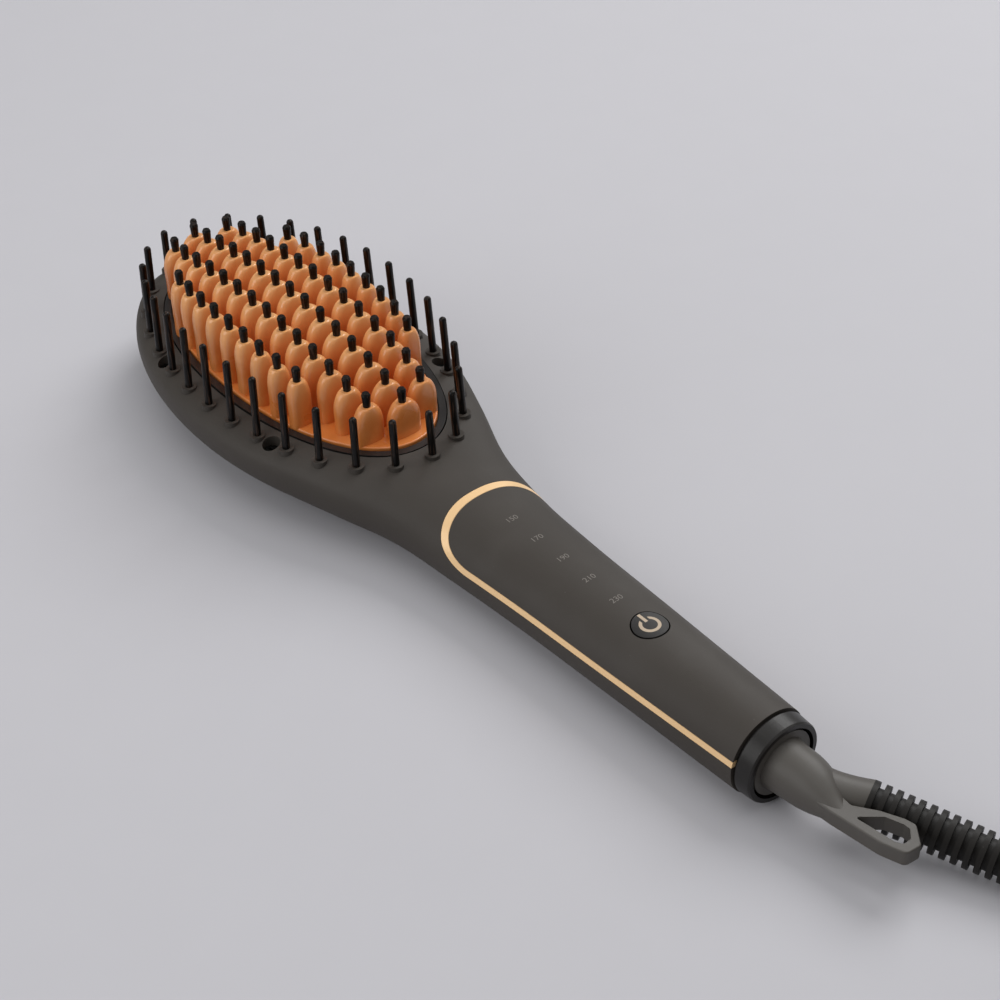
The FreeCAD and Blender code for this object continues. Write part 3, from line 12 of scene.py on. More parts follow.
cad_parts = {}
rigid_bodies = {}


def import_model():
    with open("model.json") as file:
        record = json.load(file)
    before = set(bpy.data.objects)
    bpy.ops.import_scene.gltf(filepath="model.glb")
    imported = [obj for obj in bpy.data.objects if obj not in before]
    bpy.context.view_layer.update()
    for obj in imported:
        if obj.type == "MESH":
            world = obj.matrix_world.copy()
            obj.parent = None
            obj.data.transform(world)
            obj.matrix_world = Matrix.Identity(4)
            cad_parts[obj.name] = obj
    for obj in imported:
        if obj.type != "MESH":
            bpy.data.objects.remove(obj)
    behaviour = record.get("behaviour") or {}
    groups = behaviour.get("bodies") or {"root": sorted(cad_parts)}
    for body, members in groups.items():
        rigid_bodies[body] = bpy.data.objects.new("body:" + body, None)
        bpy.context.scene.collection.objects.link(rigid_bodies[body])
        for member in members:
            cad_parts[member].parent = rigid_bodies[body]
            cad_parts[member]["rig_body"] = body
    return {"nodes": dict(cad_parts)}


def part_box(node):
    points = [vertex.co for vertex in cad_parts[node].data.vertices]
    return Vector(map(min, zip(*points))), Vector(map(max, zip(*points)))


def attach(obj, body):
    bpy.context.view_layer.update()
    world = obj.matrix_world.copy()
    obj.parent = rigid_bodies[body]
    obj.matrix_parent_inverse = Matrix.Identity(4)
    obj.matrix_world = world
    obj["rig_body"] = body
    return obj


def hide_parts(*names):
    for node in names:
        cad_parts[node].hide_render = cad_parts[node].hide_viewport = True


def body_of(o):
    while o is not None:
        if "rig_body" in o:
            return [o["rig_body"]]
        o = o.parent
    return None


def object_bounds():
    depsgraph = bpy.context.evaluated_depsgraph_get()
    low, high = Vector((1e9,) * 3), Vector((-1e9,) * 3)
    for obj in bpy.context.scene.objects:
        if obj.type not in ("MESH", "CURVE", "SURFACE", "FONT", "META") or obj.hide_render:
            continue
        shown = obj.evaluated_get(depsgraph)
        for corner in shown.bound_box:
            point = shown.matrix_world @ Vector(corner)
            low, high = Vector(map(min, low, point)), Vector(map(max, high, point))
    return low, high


bl_info = {
    "name": "Straightening Brush",
    "version": (1, 0, 0),
    "blender": (4, 5, 0),
    "location": "View3D > Sidebar > Brush",
    "description": "Finishes, supply cord and studio for a heated hair straightening brush",
    "category": "Object",
}

for leftover in list(bpy.data.objects):
    bpy.data.objects.remove(leftover)
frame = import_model()
CAD_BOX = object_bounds()
MM = 0.001


def from_screen(red, green, blue):
    """Linear colour of an 8-bit screen colour."""
    def linear(value):
        value /= 255
        return value / 12.92 if value <= 0.04045 else ((value + 0.055) / 1.055) ** 2.4
    return linear(red), linear(green), linear(blue)


def colour_property(name, description, screen):
    return FloatVectorProperty(name=name, description=description, subtype="COLOR", size=3,
                               min=0, max=1, default=from_screen(*screen))


def share_property(name, description, default):
    return FloatProperty(name=name, description=description, subtype="FACTOR", min=0, max=1,
                         default=default)


# ---- what a user would change -----------------------------------------------------------


class BodyProperties(bpy.types.PropertyGroup):
    """Handle, trim and collar."""
    shell_colour: colour_property("Shell", "Soft-touch coating of the body", (64, 59, 54))
    shell_roughness: share_property("Shell roughness", "Roughness of the coating", 0.6)
    collar_colour: colour_property("Collar", "Satin plastic of collar and button", (22, 19, 17))
    neck_colour: colour_property("Neck", "Matt rubber of neck and hanging eye", (78, 74, 69))
    trim_colour: colour_property("Trim", "Metallised trim strip", (255, 213, 158))
    print_colour: colour_property("Symbol", "Inlay of the button's symbol", (192, 173, 150))
    number_colour: colour_property("Numbers", "Faint print of the heat numbers", (118, 112, 106))
    number_size: FloatProperty(name="Number size", description="Height of a line of print",
                               unit="LENGTH", default=2.3 * MM, min=1 * MM, max=5 * MM)


class HeadProperties(bpy.types.PropertyGroup):
    """Heating plate and bristles."""
    # Painted light: the pooled colour is partly a painted shade low between the fins, and the
    # thin-coat colour is partly a painted highlight on their crests.
    plate_pooled_shade: colour_property("Plate", "Ceramic coating of the heating plate", (212, 106, 14))
    plate_thin_highlight: colour_property("Plate, thin coat", "Coating where it runs thin", (255, 188, 122))
    frame_colour: colour_property("Frame", "Plastic of the frame round the plate", (32, 30, 29))
    bristle_colour: colour_property("Bristles", "Nylon of tufts and guard bristles", (12, 10, 9))


class CordProperties(bpy.types.PropertyGroup):
    """Supply cord and its put-away coil."""
    jacket_colour: colour_property("Jacket", "Cord jacket", (16, 14, 13))
    relief_colour: colour_property("Relief", "Rubber of the strain relief", (25, 22, 19))
    diameter: FloatProperty(name="Diameter", description="Cord over its jacket", unit="LENGTH",
                            default=6 * MM, min=3 * MM, max=10 * MM)
    length: FloatProperty(name="Length", description="Cord from strain relief to plug",
                          unit="LENGTH", default=1.6, min=0.5, max=3)
    inner_radius: FloatProperty(name="Inner turn", description="Radius of the innermost turn",
                                unit="LENGTH", default=24 * MM, min=20 * MM, max=60 * MM)
    turn_pitch: FloatProperty(name="Turn pitch", description="Distance between turns",
                              unit="LENGTH", default=6.1 * MM, min=6 * MM, max=10 * MM)
    turns_per_layer: IntProperty(name="Turns per layer", description="Turns beside each other",
                                 default=4, min=2, max=6)


class StageProperties(bpy.types.PropertyGroup):
    """Floor, lamps and camera."""
    floor_colour: colour_property("Floor", "Paper sweep under the brush", (198, 197, 202))
    key_power: FloatProperty(name="Key", description="Large lamp behind the brush", unit="POWER",
                             default=11, min=0, max=200)
    fill_power: FloatProperty(name="Fill", description="Lamp on the camera's side", unit="POWER",
                              default=6, min=0, max=200)
    top_power: FloatProperty(name="Top", description="Overhead panel", unit="POWER",
                             default=4.6, min=0, max=200)
    ambient: FloatProperty(name="Ambient", description="Light of the room", default=0.27,
                           min=0, max=2)
    lens: FloatProperty(name="Lens", description="Focal length", subtype="DISTANCE_CAMERA",
                        default=70.88, min=20, max=200)


# ---- node trees -------------------------------------------------------------------------


def add_node(tree, kind, inputs=None, **settings):
    """A new node with its settings, and each input set to a value or joined to a socket."""
    item = tree.nodes.new("ShaderNode" + kind)
    for name, value in settings.items():
        setattr(item, name, value)
    for name, value in (inputs or {}).items():
        if isinstance(value, bpy.types.NodeSocket):
            tree.links.new(value, item.inputs[name])
        else:
            item.inputs[name].default_value = value
    return item


def maths(tree, operation, first, second=0.5, third=0.0, clamp=False):
    item = add_node(tree, "Math", {0: first, 1: second, 2: third}, operation=operation,
                    use_clamp=clamp)
    return item.outputs[0]


def ramp(tree, value, low, high, out_low=0.0, out_high=1.0):
    """value, from low to high, turned smoothly into out_low to out_high."""
    item = add_node(tree, "MapRange", {"Value": value, "From Min": low, "From Max": high,
                                       "To Min": out_low, "To Max": out_high},
                    interpolation_type="SMOOTHSTEP")
    return item.outputs["Result"]


def mix_colour(tree, share, first, second, blend="MIX"):
    item = add_node(tree, "Mix", {0: share, 6: first, 7: second}, data_type="RGBA",
                    blend_type=blend)
    return item.outputs[2]


def noise(tree, scale, detail=2.0, stretch=(1, 1, 1), roughness=0.5):
    """Smooth noise over the object's own coordinates; scale is in cells a metre."""
    place = add_node(tree, "TexCoord").outputs["Object"]
    if stretch != (1, 1, 1):
        place = add_node(tree, "Mapping", {"Vector": place, "Scale": stretch}).outputs["Vector"]
    return add_node(tree, "TexNoise", {"Vector": place, "Scale": scale, "Detail": detail,
                                       "Roughness": roughness}).outputs["Fac"]


def shader_group(name, inputs, outputs, fill):
    """A named group: inputs and outputs are (name, socket type, default), fill makes its nodes."""
    group = bpy.data.node_groups.new(name, "ShaderNodeTree")
    for label, kind, default in inputs:
        socket = group.interface.new_socket(label, in_out="INPUT", socket_type="NodeSocket" + kind)
        if default is not None:
            socket.default_value = default
    for label, kind in outputs:
        group.interface.new_socket(label, in_out="OUTPUT", socket_type="NodeSocket" + kind)
    entry = group.nodes.new("NodeGroupInput")
    leaving = group.nodes.new("NodeGroupOutput")
    for label, socket in fill(group, entry.outputs).items():
        group.links.new(socket, leaving.inputs[label])
    return group


def fill_grain(tree, given):
    """Fine even texture of a mould or a coating, with a faint change of tone."""
    fine = noise(tree, given["Cells"], 3.0)
    coarse = noise(tree, 60.0, 2.0)
    tone = maths(tree, "MULTIPLY_ADD", maths(tree, "SUBTRACT", coarse, 0.5), given["Tone"], 1.0)
    grey = add_node(tree, "CombineColor", {0: tone, 1: tone, 2: tone}).outputs[0]
    rough = maths(tree, "MULTIPLY_ADD", maths(tree, "SUBTRACT", fine, 0.5), 0.12,
                  given["Roughness"], clamp=True)
    return {"Color": mix_colour(tree, 1.0, given["Color"], grey, "MULTIPLY"),
            "Roughness": rough, "Height": fine}


def fill_handling(tree, given):
    """Places polished by hands, and faint long rubs along the handle."""
    smudge = ramp(tree, noise(tree, 24.0, 3.0), 0.46, 0.72)
    rub = ramp(tree, noise(tree, 900.0, 2.0, (0.04, 1, 1)), 0.64, 0.76)
    share = maths(tree, "MULTIPLY", maths(tree, "MULTIPLY_ADD", rub, 0.5, smudge), given["Amount"],
                  clamp=True)
    rough = maths(tree, "MULTIPLY_ADD", share, -0.22, given["Roughness"], clamp=True)
    lifted = mix_colour(tree, 1.0, given["Color"], given["Lift"], "ADD")
    return {"Color": mix_colour(tree, share, given["Color"], lifted), "Roughness": rough}


def fill_dust(tree, given):
    """Specks and a thin veil of dust on faces that look up."""
    normal = add_node(tree, "NewGeometry").outputs["Normal"]
    upward = add_node(tree, "SeparateXYZ", {0: normal}).outputs["Z"]
    place = add_node(tree, "TexCoord").outputs["Object"]
    cells = add_node(tree, "TexVoronoi", {"Vector": place, "Scale": 620.0, "Randomness": 1.0})
    speck = ramp(tree, cells.outputs["Distance"], 0.10, 0.04)
    chosen = ramp(tree, noise(tree, 310.0, 1.0), 0.60, 0.66)
    veil = ramp(tree, noise(tree, 45.0, 4.0), 0.45, 0.8, 0.0, 0.22)
    share = maths(tree, "MULTIPLY_ADD", speck, chosen, veil)
    share = maths(tree, "MULTIPLY", share, ramp(tree, upward, 0.1, 0.9), clamp=True)
    share = maths(tree, "MULTIPLY", share, given["Amount"], clamp=True)
    rough = maths(tree, "MULTIPLY_ADD", share, 0.3, given["Roughness"], clamp=True)
    return {"Color": mix_colour(tree, share, given["Color"], given["Dust"]), "Roughness": rough}


def fill_glaze(tree, given):
    """Sprayed ceramic coat with orange-peel waves and random patches of thin and pooled colour,
    with a painted highlight that lightens it towards the crests over a painted shade lower down.
    """
    place = add_node(tree, "NewGeometry").outputs["Position"]
    height = add_node(tree, "SeparateXYZ", {0: place}).outputs["Z"]
    # Painted light: the coat is lighter towards the top of the fins and darker lower down, by
    # height alone.
    crest = ramp(tree, height, given["Low"], given["High"])
    patch = noise(tree, 130.0, 3.0)
    share = maths(tree, "MULTIPLY_ADD", patch, 0.5, maths(tree, "MULTIPLY", crest, 0.6), clamp=True)
    peel = noise(tree, 900.0, 2.0)
    grit = noise(tree, 5200.0, 1.0)
    rough = maths(tree, "MULTIPLY_ADD", maths(tree, "SUBTRACT", patch, 0.5), 0.18,
                  given["Roughness"], clamp=True)
    return {"Color": mix_colour(tree, share, given["Pooled_Shade"], given["Thin_Highlight"]),
            "Roughness": rough, "Height": maths(tree, "MULTIPLY_ADD", grit, 0.25, peel)}


def fill_brushed(tree, given):
    """Fine drawn lines along one direction of a metal part."""
    lines = noise(tree, 5200.0, 2.0, (0.03, 1, 1))
    tarnish = noise(tree, 350.0, 3.0)
    rough = maths(tree, "MULTIPLY_ADD", lines, 0.16, given["Roughness"], clamp=True)
    dark = mix_colour(tree, 1.0, given["Color"], (0.72, 0.70, 0.68, 1), "MULTIPLY")
    return {"Color": mix_colour(tree, ramp(tree, tarnish, 0.45, 0.7), given["Color"], dark),
            "Roughness": rough, "Height": lines}


def fill_fibres(tree, given):
    """Upright fibres of a bristle, with a painted brown sheen on scattered strands."""
    strands = noise(tree, 2600.0, 2.0, (1, 1, 0.06))
    rough = maths(tree, "MULTIPLY_ADD", strands, 0.16, given["Roughness"], clamp=True)
    # Painted sheen: scattered strands are lightened towards brown where bristle tips would catch
    # the light.
    paler = mix_colour(tree, 1.0, given["Color"], (0.04, 0.022, 0.014, 1), "ADD")
    lit = ramp(tree, strands, 0.52, 0.66)
    return {"Color": mix_colour(tree, lit, given["Color"], paler), "Roughness": rough,
            "Height": strands}


def fill_laminate(tree, given):
    """Circuit board: solder mask with copper runs under it."""
    place = add_node(tree, "TexCoord").outputs["Object"]
    cells = add_node(tree, "TexBrick", {"Vector": place, "Scale": 90.0, "Mortar Size": 0.09,
                                        "Brick Width": 0.9, "Row Height": 0.24})
    run = ramp(tree, cells.outputs["Fac"], 0.3, 0.7)
    paler = mix_colour(tree, 1.0, given["Color"], (0.02, 0.07, 0.03, 1), "ADD")
    return {"Color": mix_colour(tree, run, given["Color"], paler), "Height": run}


COLOUR_IN = ("Color", "Color", (0.5, 0.5, 0.5, 1))
ROUGH_IN = ("Roughness", "Float", 0.5)
COLOUR_OUT, ROUGH_OUT, HEIGHT_OUT = ("Color", "Color"), ("Roughness", "Float"), ("Height", "Float")


def make_groups():
    """Every shared effect, built once."""
    paired = (COLOUR_OUT, ROUGH_OUT)
    raised = (COLOUR_OUT, ROUGH_OUT, HEIGHT_OUT)
    return {
        "grain": shader_group("Moulded grain", (COLOUR_IN, ROUGH_IN, ("Cells", "Float", 4000.0),
                                                ("Tone", "Float", 0.1)), raised, fill_grain),
        "handling": shader_group("Handling polish", (
            COLOUR_IN, ROUGH_IN, ("Lift", "Color", (0.01, 0.01, 0.01, 1)),
            ("Amount", "Float", 0.5)), paired, fill_handling),
        "dust": shader_group("Settled dust", (
            COLOUR_IN, ROUGH_IN, ("Dust", "Color", (0.4, 0.38, 0.36, 1)),
            ("Amount", "Float", 0.3)), paired, fill_dust),
        "glaze": shader_group("Ceramic glaze", (
            ("Pooled_Shade", "Color", None), ("Thin_Highlight", "Color", None), ROUGH_IN,
            ("Low", "Float", 0.02), ("High", "Float", 0.04)), raised, fill_glaze),
        "brushed": shader_group("Drawn metal", (COLOUR_IN, ROUGH_IN), raised, fill_brushed),
        "fibres": shader_group("Bristle fibres", (COLOUR_IN, ROUGH_IN), raised, fill_fibres),
        "laminate": shader_group("Board laminate", (COLOUR_IN,), (COLOUR_OUT, HEIGHT_OUT),
                                 fill_laminate),
    }


GROUPS = {}


def place_group(tree, key, inputs):
    item = add_node(tree, "Group", node_tree=GROUPS[key])
    for name, value in inputs.items():
        if isinstance(value, bpy.types.NodeSocket):
            tree.links.new(value, item.inputs[name])
        else:
            item.inputs[name].default_value = value
    return item.outputs


def surface(name, colour, chain, bump=0.0, bump_height=0.0001, **plain):
    """A material from a chain of (group, its inputs), each fed with the colour before it.

    plain holds values that are the same all over, set on the shader's own sockets.
    """
    item = bpy.data.materials.new(name)
    item.use_nodes = True
    tree = item.node_tree
    shader = tree.nodes["Principled BSDF"]
    passed = {"Color": (*colour, 1.0), "Roughness": plain.pop("Roughness", 0.5)}
    height = None
    for key, inputs in chain:
        taken = {socket.name for socket in GROUPS[key].interface.items_tree
                 if socket.in_out == "INPUT"}
        given = {label: value for label, value in passed.items() if label in taken}
        outputs = place_group(tree, key, {**given, **inputs})
        for label in ("Color", "Roughness"):
            if label in outputs:
                passed[label] = outputs[label]
        if "Height" in outputs and height is None:
            height = outputs["Height"]
    for label, target in (("Color", "Base Color"), ("Roughness", "Roughness")):
        value = passed[label]
        if isinstance(value, bpy.types.NodeSocket):
            tree.links.new(value, shader.inputs[target])
        else:
            shader.inputs[target].default_value = value
    if bump and height is not None:
        raised = add_node(tree, "Bump", {"Height": height, "Strength": bump,
                                         "Distance": bump_height})
        tree.links.new(raised.outputs["Normal"], shader.inputs["Normal"])
    for label, value in plain.items():
        shader.inputs[label.replace("_", " ")].default_value = value
    return item


def moulded(name, colour, roughness, cells=3500.0, tone=0.1, dust=0.0, handling=0.0, bump=0.25,
            **plain):
    """Moulded or coated plastic."""
    chain = [("grain", {"Cells": cells, "Tone": tone})]
    if handling:
        chain.append(("handling", {"Amount": handling}))
    if dust:
        chain.append(("dust", {"Amount": dust}))
    return surface(name, colour, chain, bump=bump, Roughness=roughness, **plain)


def metal(name, colour, roughness):
    return surface(name, colour, [("brushed", {})], bump=0.15, bump_height=0.00005,
                   Roughness=roughness, Metallic=1.0)


def dress(item, *nodes):
    """Gives the CAD nodes this material."""
    for name in nodes:
        mesh = frame["nodes"][name].data
        mesh.materials.clear()
        mesh.materials.append(item)


# ---- pieces -----------------------------------------------------------------------------

FIRST_NUMBER, NUMBER_PITCH = 14.3 * MM, 9.6 * MM
ABOVE_COVER = 35 * MM  # height from which the numbers are laid on the cover
PRINT_LIFT = 0.03 * MM


class BrushOperator:
    bl_options = {"REGISTER", "UNDO"}


class BRUSH_OT_body(BrushOperator, bpy.types.Operator):
    """Coats the two body shells and the control cover."""
    bl_idname = "brush.body"
    bl_label = "Body"

    def execute(self, context):
        look = context.scene.brush_body
        coat = moulded("soft_touch_shell", look.shell_colour, look.shell_roughness, cells=5200.0,
                       tone=0.12, dust=0.15, handling=0.2, bump=0.22, Specular_IOR_Level=0.35)
        dress(coat, "front_shell", "back_shell", "control_cover")
        return {"FINISHED"}


class BRUSH_OT_trim(BrushOperator, bpy.types.Operator):
    """Finishes the metallised trim strip."""
    bl_idname = "brush.trim"
    bl_label = "Trim strip"

    def execute(self, context):
        look = context.scene.brush_body
        gilt = moulded("rose_gold_trim", look.trim_colour, 0.34, cells=2600.0, tone=0.08,
                       bump=0.06, Metallic=0.1, Coat_Weight=0.3, Coat_Roughness=0.2)
        dress(gilt, "gold_trim")
        return {"FINISHED"}


class BRUSH_OT_plate(BrushOperator, bpy.types.Operator):
    """Glazes the heating plate and its fins."""
    bl_idname = "brush.plate"
    bl_label = "Heating plate"

    def execute(self, context):
        look = context.scene.brush_head
        low, high = (corner.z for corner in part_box("heating_plate"))
        # The glaze paints a highlight on the fin crests and a shade low between them.
        glaze = surface("ceramic_glaze", look.plate_pooled_shade, [
            ("glaze", {"Pooled_Shade": (*look.plate_pooled_shade, 1), "Thin_Highlight": (*look.plate_thin_highlight, 1),
                       "Low": low + 9 * MM, "High": high}),
            ("dust", {"Amount": 0.1, "Dust": (0.75, 0.62, 0.5, 1)})],
            bump=0.12, Roughness=0.3, Coat_Weight=0.45, Coat_Roughness=0.14)
        dress(glaze, "heating_plate")
        return {"FINISHED"}


class BRUSH_OT_bristles(BrushOperator, bpy.types.Operator):
    """Finishes the tufts, the guard bristles and the frame that carries them."""
    bl_idname = "brush.bristles"
    bl_label = "Bristles and frame"

    def execute(self, context):
        look = context.scene.brush_head
        nylon = surface("bristle_nylon", look.bristle_colour, [("fibres", {}), (
            "dust", {"Amount": 0.04})], bump=0.4, bump_height=0.0001, Roughness=0.24,
            Specular_IOR_Level=0.2)
        dress(nylon, "bristle_tufts", "guard_bristles")
        plastic = moulded("frame_plastic", look.frame_colour, 0.36, cells=3000.0, dust=0.15,
                          bump=0.15)
        dress(plastic, "heater_frame", "heater_tray")
        return {"FINISHED"}


class BRUSH_OT_button(BrushOperator, bpy.types.Operator):
    """Finishes the power button, its symbol and the indicator marks."""
    bl_idname = "brush.button"
    bl_label = "Button and marks"

    def execute(self, context):
        look = context.scene.brush_body
        cap = moulded("button_plastic", look.collar_colour, 0.46, cells=4000.0, dust=0.2)
        dress(cap, "power_button")
        inlay = moulded("symbol_inlay", look.print_colour, 0.5, cells=2400.0, bump=0.05)
        dress(inlay, "power_symbol")
        acrylic = moulded("smoked_acrylic", from_screen(120, 114, 108), 0.3, cells=1500.0,
                          bump=0.04)
        dress(acrylic, "light_guides")
        white = moulded("plunger_white", from_screen(214, 212, 205), 0.5)
        dress(white, "switch_plunger", "indicator_lamps")
        return {"FINISHED"}


class BRUSH_OT_marks(BrushOperator, bpy.types.Operator):
    """Prints the faint heat numbers in a row on the upper shell."""
    bl_idname = "brush.marks"
    bl_label = "Heat numbers"

    def execute(self, context):
        look = context.scene.brush_body
        ink = moulded("faint_print", look.number_colour, 0.5, cells=2400.0, bump=0.05)
        for k, number in enumerate(("150", "170", "190", "210", "230")):
            text = bpy.data.curves.new("number", "FONT")
            text.body = number
            text.size = look.number_size
            text.align_x = text.align_y = "CENTER"
            outline = bpy.data.objects.new("number", text)
            mesh = bpy.data.meshes.new_from_object(outline)
            bpy.data.objects.remove(outline)
            bpy.data.curves.remove(text)
            mesh.materials.clear()
            mesh.materials.append(ink)
            item = bpy.data.objects.new("heat_number_" + number, mesh)
            context.scene.collection.objects.link(item)
            item.location = (FIRST_NUMBER + k * NUMBER_PITCH, 0, ABOVE_COVER)
            item.rotation_euler = (0, 0, math.pi / 2)
            wrap = item.modifiers.new("on the cover", "SHRINKWRAP")
            wrap.target = frame["nodes"]["control_cover"]
            wrap.wrap_method = "PROJECT"
            wrap.use_project_z = True
            wrap.use_negative_direction = True
            wrap.use_positive_direction = False
            wrap.offset = PRINT_LIFT
            context.view_layer.update()
            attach(item, body_of(frame["nodes"]["control_cover"])[0])
        return {"FINISHED"}


class BRUSH_OT_swivel(BrushOperator, bpy.types.Operator):
    """Finishes the collar, the turning neck with its hanging eye and the strain relief."""
    bl_idname = "brush.swivel"
    bl_label = "Collar, neck and strain relief"

    def execute(self, context):
        look = context.scene.brush_body
        satin = moulded("collar_satin", look.collar_colour, 0.38, cells=3800.0, dust=0.15,
                        handling=0.25, bump=0.16, Specular_IOR_Level=0.35)
        dress(satin, "tail_collar")
        matt = moulded("neck_rubber", look.neck_colour, 0.5, cells=3800.0, dust=0.15, handling=0.3,
                       bump=0.16)
        dress(matt, "swivel_neck", "hanging_eye")
        rubber = moulded("relief_rubber", context.scene.brush_cord.relief_colour, 0.5,
                         cells=4200.0, dust=0.1, bump=0.14, Specular_IOR_Level=0.25)
        dress(rubber, "strain_relief")
        return {"FINISHED"}


class BRUSH_OT_inside(BrushOperator, bpy.types.Operator):
    """Finishes the heater stack, the electronics, the wires and the fasteners."""
    bl_idname = "brush.inside"
    bl_label = "Inside parts"

    def execute(self, context):
        dress(metal("black_zinc", from_screen(58, 57, 56), 0.34),
              "clamp_screws", "head_screws", "grip_screws", "board_screws")
        dress(metal("spring_steel", from_screen(196, 196, 194), 0.3), "swivel_retainer",
              "clamp_plate")
        dress(metal("contact_brass", from_screen(214, 178, 98), 0.28), "slip_rings",
              "contact_springs")
        dress(moulded("heater_ceramic", from_screen(196, 190, 182), 0.6), "ptc_heaters")
        dress(moulded("heater_film", from_screen(206, 128, 40), 0.24, cells=900.0),
              "insulation_film")
        dress(moulded("sensor_resin", from_screen(150, 96, 60), 0.35), "thermistor", "thermal_fuse")
        dress(moulded("component_black", from_screen(34, 34, 35), 0.45), "control_chip", "triac",
              "tact_switch", "contact_carrier")
        dress(moulded("capacitor_sleeve", from_screen(36, 44, 84), 0.3), "mains_capacitor")
        dress(moulded("lead_silicone", from_screen(206, 202, 196), 0.5), "heater_leads",
              "supply_leads")
        board = surface("board_laminate", from_screen(24, 92, 52), [("laminate", {})], bump=0.2,
                        Roughness=0.3)
        dress(board, "control_board")
        return {"FINISHED"}


# ---- supply cord ------------------------------------------------------------------------

CORD_EXIT = Vector((172.6, 25.8, 4.6)) * MM
EXIT_WAY = Vector((0.9353, 0.3497, -0.0534))
COIL_CENTRE = Vector((231, 3, 0)) * MM
ENTRY_ANGLE, LEAVE_ANGLE = 110.5, 60
POINTS_PER_TURN = 24
FLOOR_LIFT = 0.05 * MM
EXIT_RUN = 18 * MM      # straight run out of the strain relief
STRAIGHT_RUN = 12 * MM  # straight runs into the coil, out of it and into the plug
DROP_RUN = 24 * MM      # from the coil's last turn to where the cord has cleared it
RISE_RUN = 14 * MM      # from there to the plug's level
DROP = 1.3 * MM
PLUG_ANGLE, PLUG_LEVEL = -24, 6.5 * MM


def heading(degrees):
    """Level direction at this angle from +X."""
    return Vector((math.cos(math.radians(degrees)), math.sin(math.radians(degrees)), 0))


def smooth_step(value, low, high):
    share = min(max((value - low) / (high - low), 0), 1)
    return share * share * (3 - 2 * share)


def coil_points(cord):
    """Control points of the clockwise turns: inward along the floor, then outward on top."""
    low = cord.diameter / 2 + FLOOR_LIFT
    last = cord.turns_per_layer - 1
    total = 2 * cord.turns_per_layer - 1 + (ENTRY_ANGLE - LEAVE_ANGLE) / 360
    spread = 1 / math.cos(math.pi / POINTS_PER_TURN)
    points = []
    for step in range(round(total * POINTS_PER_TURN) + 1):
        turns = step / POINTS_PER_TURN
        whole = int(turns)
        if whole < cord.turns_per_layer:
            inward = min(whole + smooth_step(turns - whole, 0.6, 1), last)
        else:
            outward = whole - cord.turns_per_layer + smooth_step(turns - whole, 0.15, 0.55)
            inward = max(last - outward, 0)
        climb = smooth_step(turns, last + 0.35, last + 0.75)
        radius = cord.inner_radius + (last - inward) * cord.turn_pitch
        way = heading(ENTRY_ANGLE - turns * 360)
        points.append(COIL_CENTRE + way * radius * spread
                      + Vector((0, 0, low + climb * cord.turn_pitch)))
    return points


class BRUSH_OT_cord(BrushOperator, bpy.types.Operator):
    """Lays the supply cord from the strain relief through its coil to the plug."""
    bl_idname = "brush.cord"
    bl_label = "Supply cord"

    def execute(self, context):
        cord = context.scene.brush_cord
        low = cord.diameter / 2 + FLOOR_LIFT
        outer = cord.inner_radius + (cord.turns_per_layer - 1) * cord.turn_pitch
        entry = COIL_CENTRE + heading(ENTRY_ANGLE) * outer + Vector((0, 0, low))
        entry_way = heading(ENTRY_ANGLE - 90)
        leave = (COIL_CENTRE + heading(LEAVE_ANGLE) * outer
                 + Vector((0, 0, low + cord.turn_pitch)))
        leave_way = heading(LEAVE_ANGLE - 90)
        bend = CORD_EXIT + EXIT_WAY * EXIT_RUN
        bend.z = low
        plug_way = heading(PLUG_ANGLE)
        drop = leave + leave_way * DROP_RUN
        rise_end = drop + plug_way * RISE_RUN
        drop.z = leave.z - DROP
        rise_end.z = PLUG_LEVEL
        plug_start = rise_end + plug_way * STRAIGHT_RUN
        route = [CORD_EXIT, bend, entry - entry_way * STRAIGHT_RUN, *coil_points(cord),
                 leave + leave_way * STRAIGHT_RUN, drop, rise_end, plug_start]
        curve = bpy.data.curves.new("supply_cord", "CURVE")
        curve.dimensions = "3D"
        curve.bevel_depth = cord.diameter / 2
        curve.bevel_resolution = 5
        curve.resolution_u = 6
        spline = curve.splines.new("NURBS")
        spline.points.add(len(route) - 1)
        for point, spot in zip(spline.points, route):
            point.co = (*spot, 1)
        spline.order_u = 3
        spline.use_endpoint_u = True
        item = bpy.data.objects.new("supply_cord", curve)
        context.scene.collection.objects.link(item)
        jacket = moulded("cord_jacket", cord.jacket_colour, 0.42, cells=2800.0, dust=0.25,
                         bump=0.12)
        curve.materials.append(jacket)
        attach(item, "cord_swivel")
        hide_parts("power_cord", "cord_coil", "plug_lead")
        dress(moulded("plug_plastic", cord.jacket_colour, 0.38, cells=3200.0, dust=0.2),
              "plug_body")
        dress(metal("pin_nickel", from_screen(206, 205, 200), 0.2), "plug_pins")
        return {"FINISHED"}


# ---- studio -----------------------------------------------------------------------------

CAMERA_SPOT = Vector((306.92, -225.76, 325.55)) * MM
CAMERA_AZIMUTH, CAMERA_ELEVATION, CAMERA_ROLL = 52.772, 38.87, -2.368
FLOOR_SIDE = 12


def lamp(context, name, spot, size, power):
    """A square area lamp that faces the middle of the brush."""
    light = bpy.data.lights.new(name, "AREA")
    light.shape = "SQUARE"
    light.size = size
    light.energy = power
    item = bpy.data.objects.new(name, light)
    context.scene.collection.objects.link(item)
    item.location = spot
    item.rotation_euler = (-item.location).to_track_quat("-Z", "Y").to_euler()
    return item


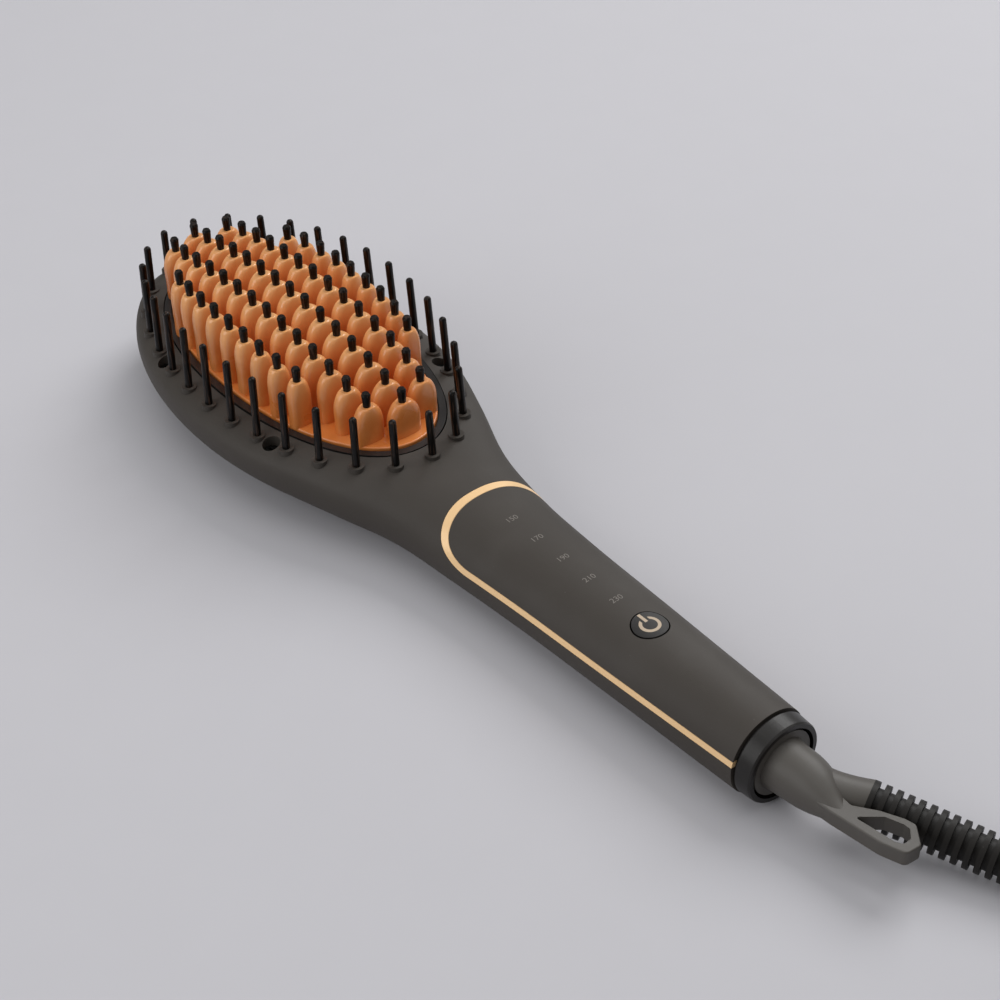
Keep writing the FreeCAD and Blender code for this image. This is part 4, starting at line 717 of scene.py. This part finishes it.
class BRUSH_OT_stage(BrushOperator, bpy.types.Operator):
    """Adds the floor, the lamps, the room's light and the camera."""
    bl_idname = "brush.stage"
    bl_label = "Studio"

    def execute(self, context):
        stage = context.scene.brush_stage
        self.add_camera(context, stage)
        low, half = CAD_BOX[0][2], FLOOR_SIDE / 2
        mesh = bpy.data.meshes.new("floor")
        mesh.from_pydata([(-half, -half, low), (half, -half, low), (half, half, low),
                          (-half, half, low)], [], [(0, 1, 2, 3)])
        floor = bpy.data.objects.new("floor", mesh)
        context.scene.collection.objects.link(floor)
        mesh.materials.append(surface("paper_sweep", stage.floor_colour, [
            ("grain", {"Cells": 2500.0, "Tone": 0.02})], Roughness=0.75))
        lamp(context, "key_lamp", (-0.25, 1.0, 1.0), 0.9, stage.key_power)
        lamp(context, "fill_lamp", (-0.3, -1.1, 0.7), 1.0, stage.fill_power)
        lamp(context, "top_lamp", (0, 0, 1.3), 1.2, stage.top_power)
        world = bpy.data.worlds.new("room")
        context.scene.world = world
        world.use_nodes = True
        background = world.node_tree.nodes["Background"]
        background.inputs["Color"].default_value = (1, 1, 1, 1)
        background.inputs["Strength"].default_value = stage.ambient
        context.scene.view_settings.view_transform = "Standard"
        return {"FINISHED"}

    def add_camera(self, context, stage):
        """The camera, turned about its own axis by the roll."""
        azimuth, elevation, roll = (math.radians(value) for value in (
            CAMERA_AZIMUTH, CAMERA_ELEVATION, CAMERA_ROLL))
        back = Vector((math.sin(azimuth) * math.cos(elevation),
                       -math.cos(azimuth) * math.cos(elevation), math.sin(elevation)))
        right = Vector((math.cos(azimuth), math.sin(azimuth), 0))
        up = back.cross(right)
        rolled_right = right * math.cos(roll) + up * math.sin(roll)
        rolled_up = up * math.cos(roll) - right * math.sin(roll)
        camera = bpy.data.cameras.new("camera")
        camera.sensor_fit = "HORIZONTAL"
        camera.sensor_width = 36
        camera.lens = stage.lens
        camera.clip_start = 0.01
        item = bpy.data.objects.new("camera", camera)
        context.scene.collection.objects.link(item)
        turn = Matrix((rolled_right, rolled_up, back)).transposed()
        item.matrix_world = Matrix.Translation(CAMERA_SPOT) @ turn.to_4x4()
        context.scene.camera = item


# ---- panel and registration -------------------------------------------------------------

OPERATORS = (BRUSH_OT_stage, BRUSH_OT_cord, BRUSH_OT_body, BRUSH_OT_trim, BRUSH_OT_plate,
             BRUSH_OT_bristles, BRUSH_OT_button, BRUSH_OT_marks, BRUSH_OT_swivel,
             BRUSH_OT_inside)
PROPERTY_GROUPS = {"brush_body": BodyProperties, "brush_head": HeadProperties,
                   "brush_cord": CordProperties, "brush_stage": StageProperties}


class BRUSH_PT_panel(bpy.types.Panel):
    """Lists the pieces and their settings."""
    bl_label = "Straightening Brush"
    bl_idname = "BRUSH_PT_panel"
    bl_space_type = "VIEW_3D"
    bl_region_type = "UI"
    bl_category = "Brush"

    def draw(self, context):
        for operator in OPERATORS:
            self.layout.operator(operator.bl_idname)
        for name, kind in PROPERTY_GROUPS.items():
            box = self.layout.box()
            settings = getattr(context.scene, name)
            for field in kind.__annotations__:
                box.prop(settings, field)


def register():
    for kind in (*PROPERTY_GROUPS.values(), *OPERATORS, BRUSH_PT_panel):
        bpy.utils.register_class(kind)
    for name, kind in PROPERTY_GROUPS.items():
        setattr(bpy.types.Scene, name, PointerProperty(type=kind))


def unregister():
    for name in PROPERTY_GROUPS:
        delattr(bpy.types.Scene, name)
    for kind in reversed((*PROPERTY_GROUPS.values(), *OPERATORS, BRUSH_PT_panel)):
        bpy.utils.unregister_class(kind)


def main():
    register()
    GROUPS.update(make_groups())
    for operator in OPERATORS:
        group, name = operator.bl_idname.split(".")
        getattr(getattr(bpy.ops, group), name)()


if __name__ == "__main__":
    main()
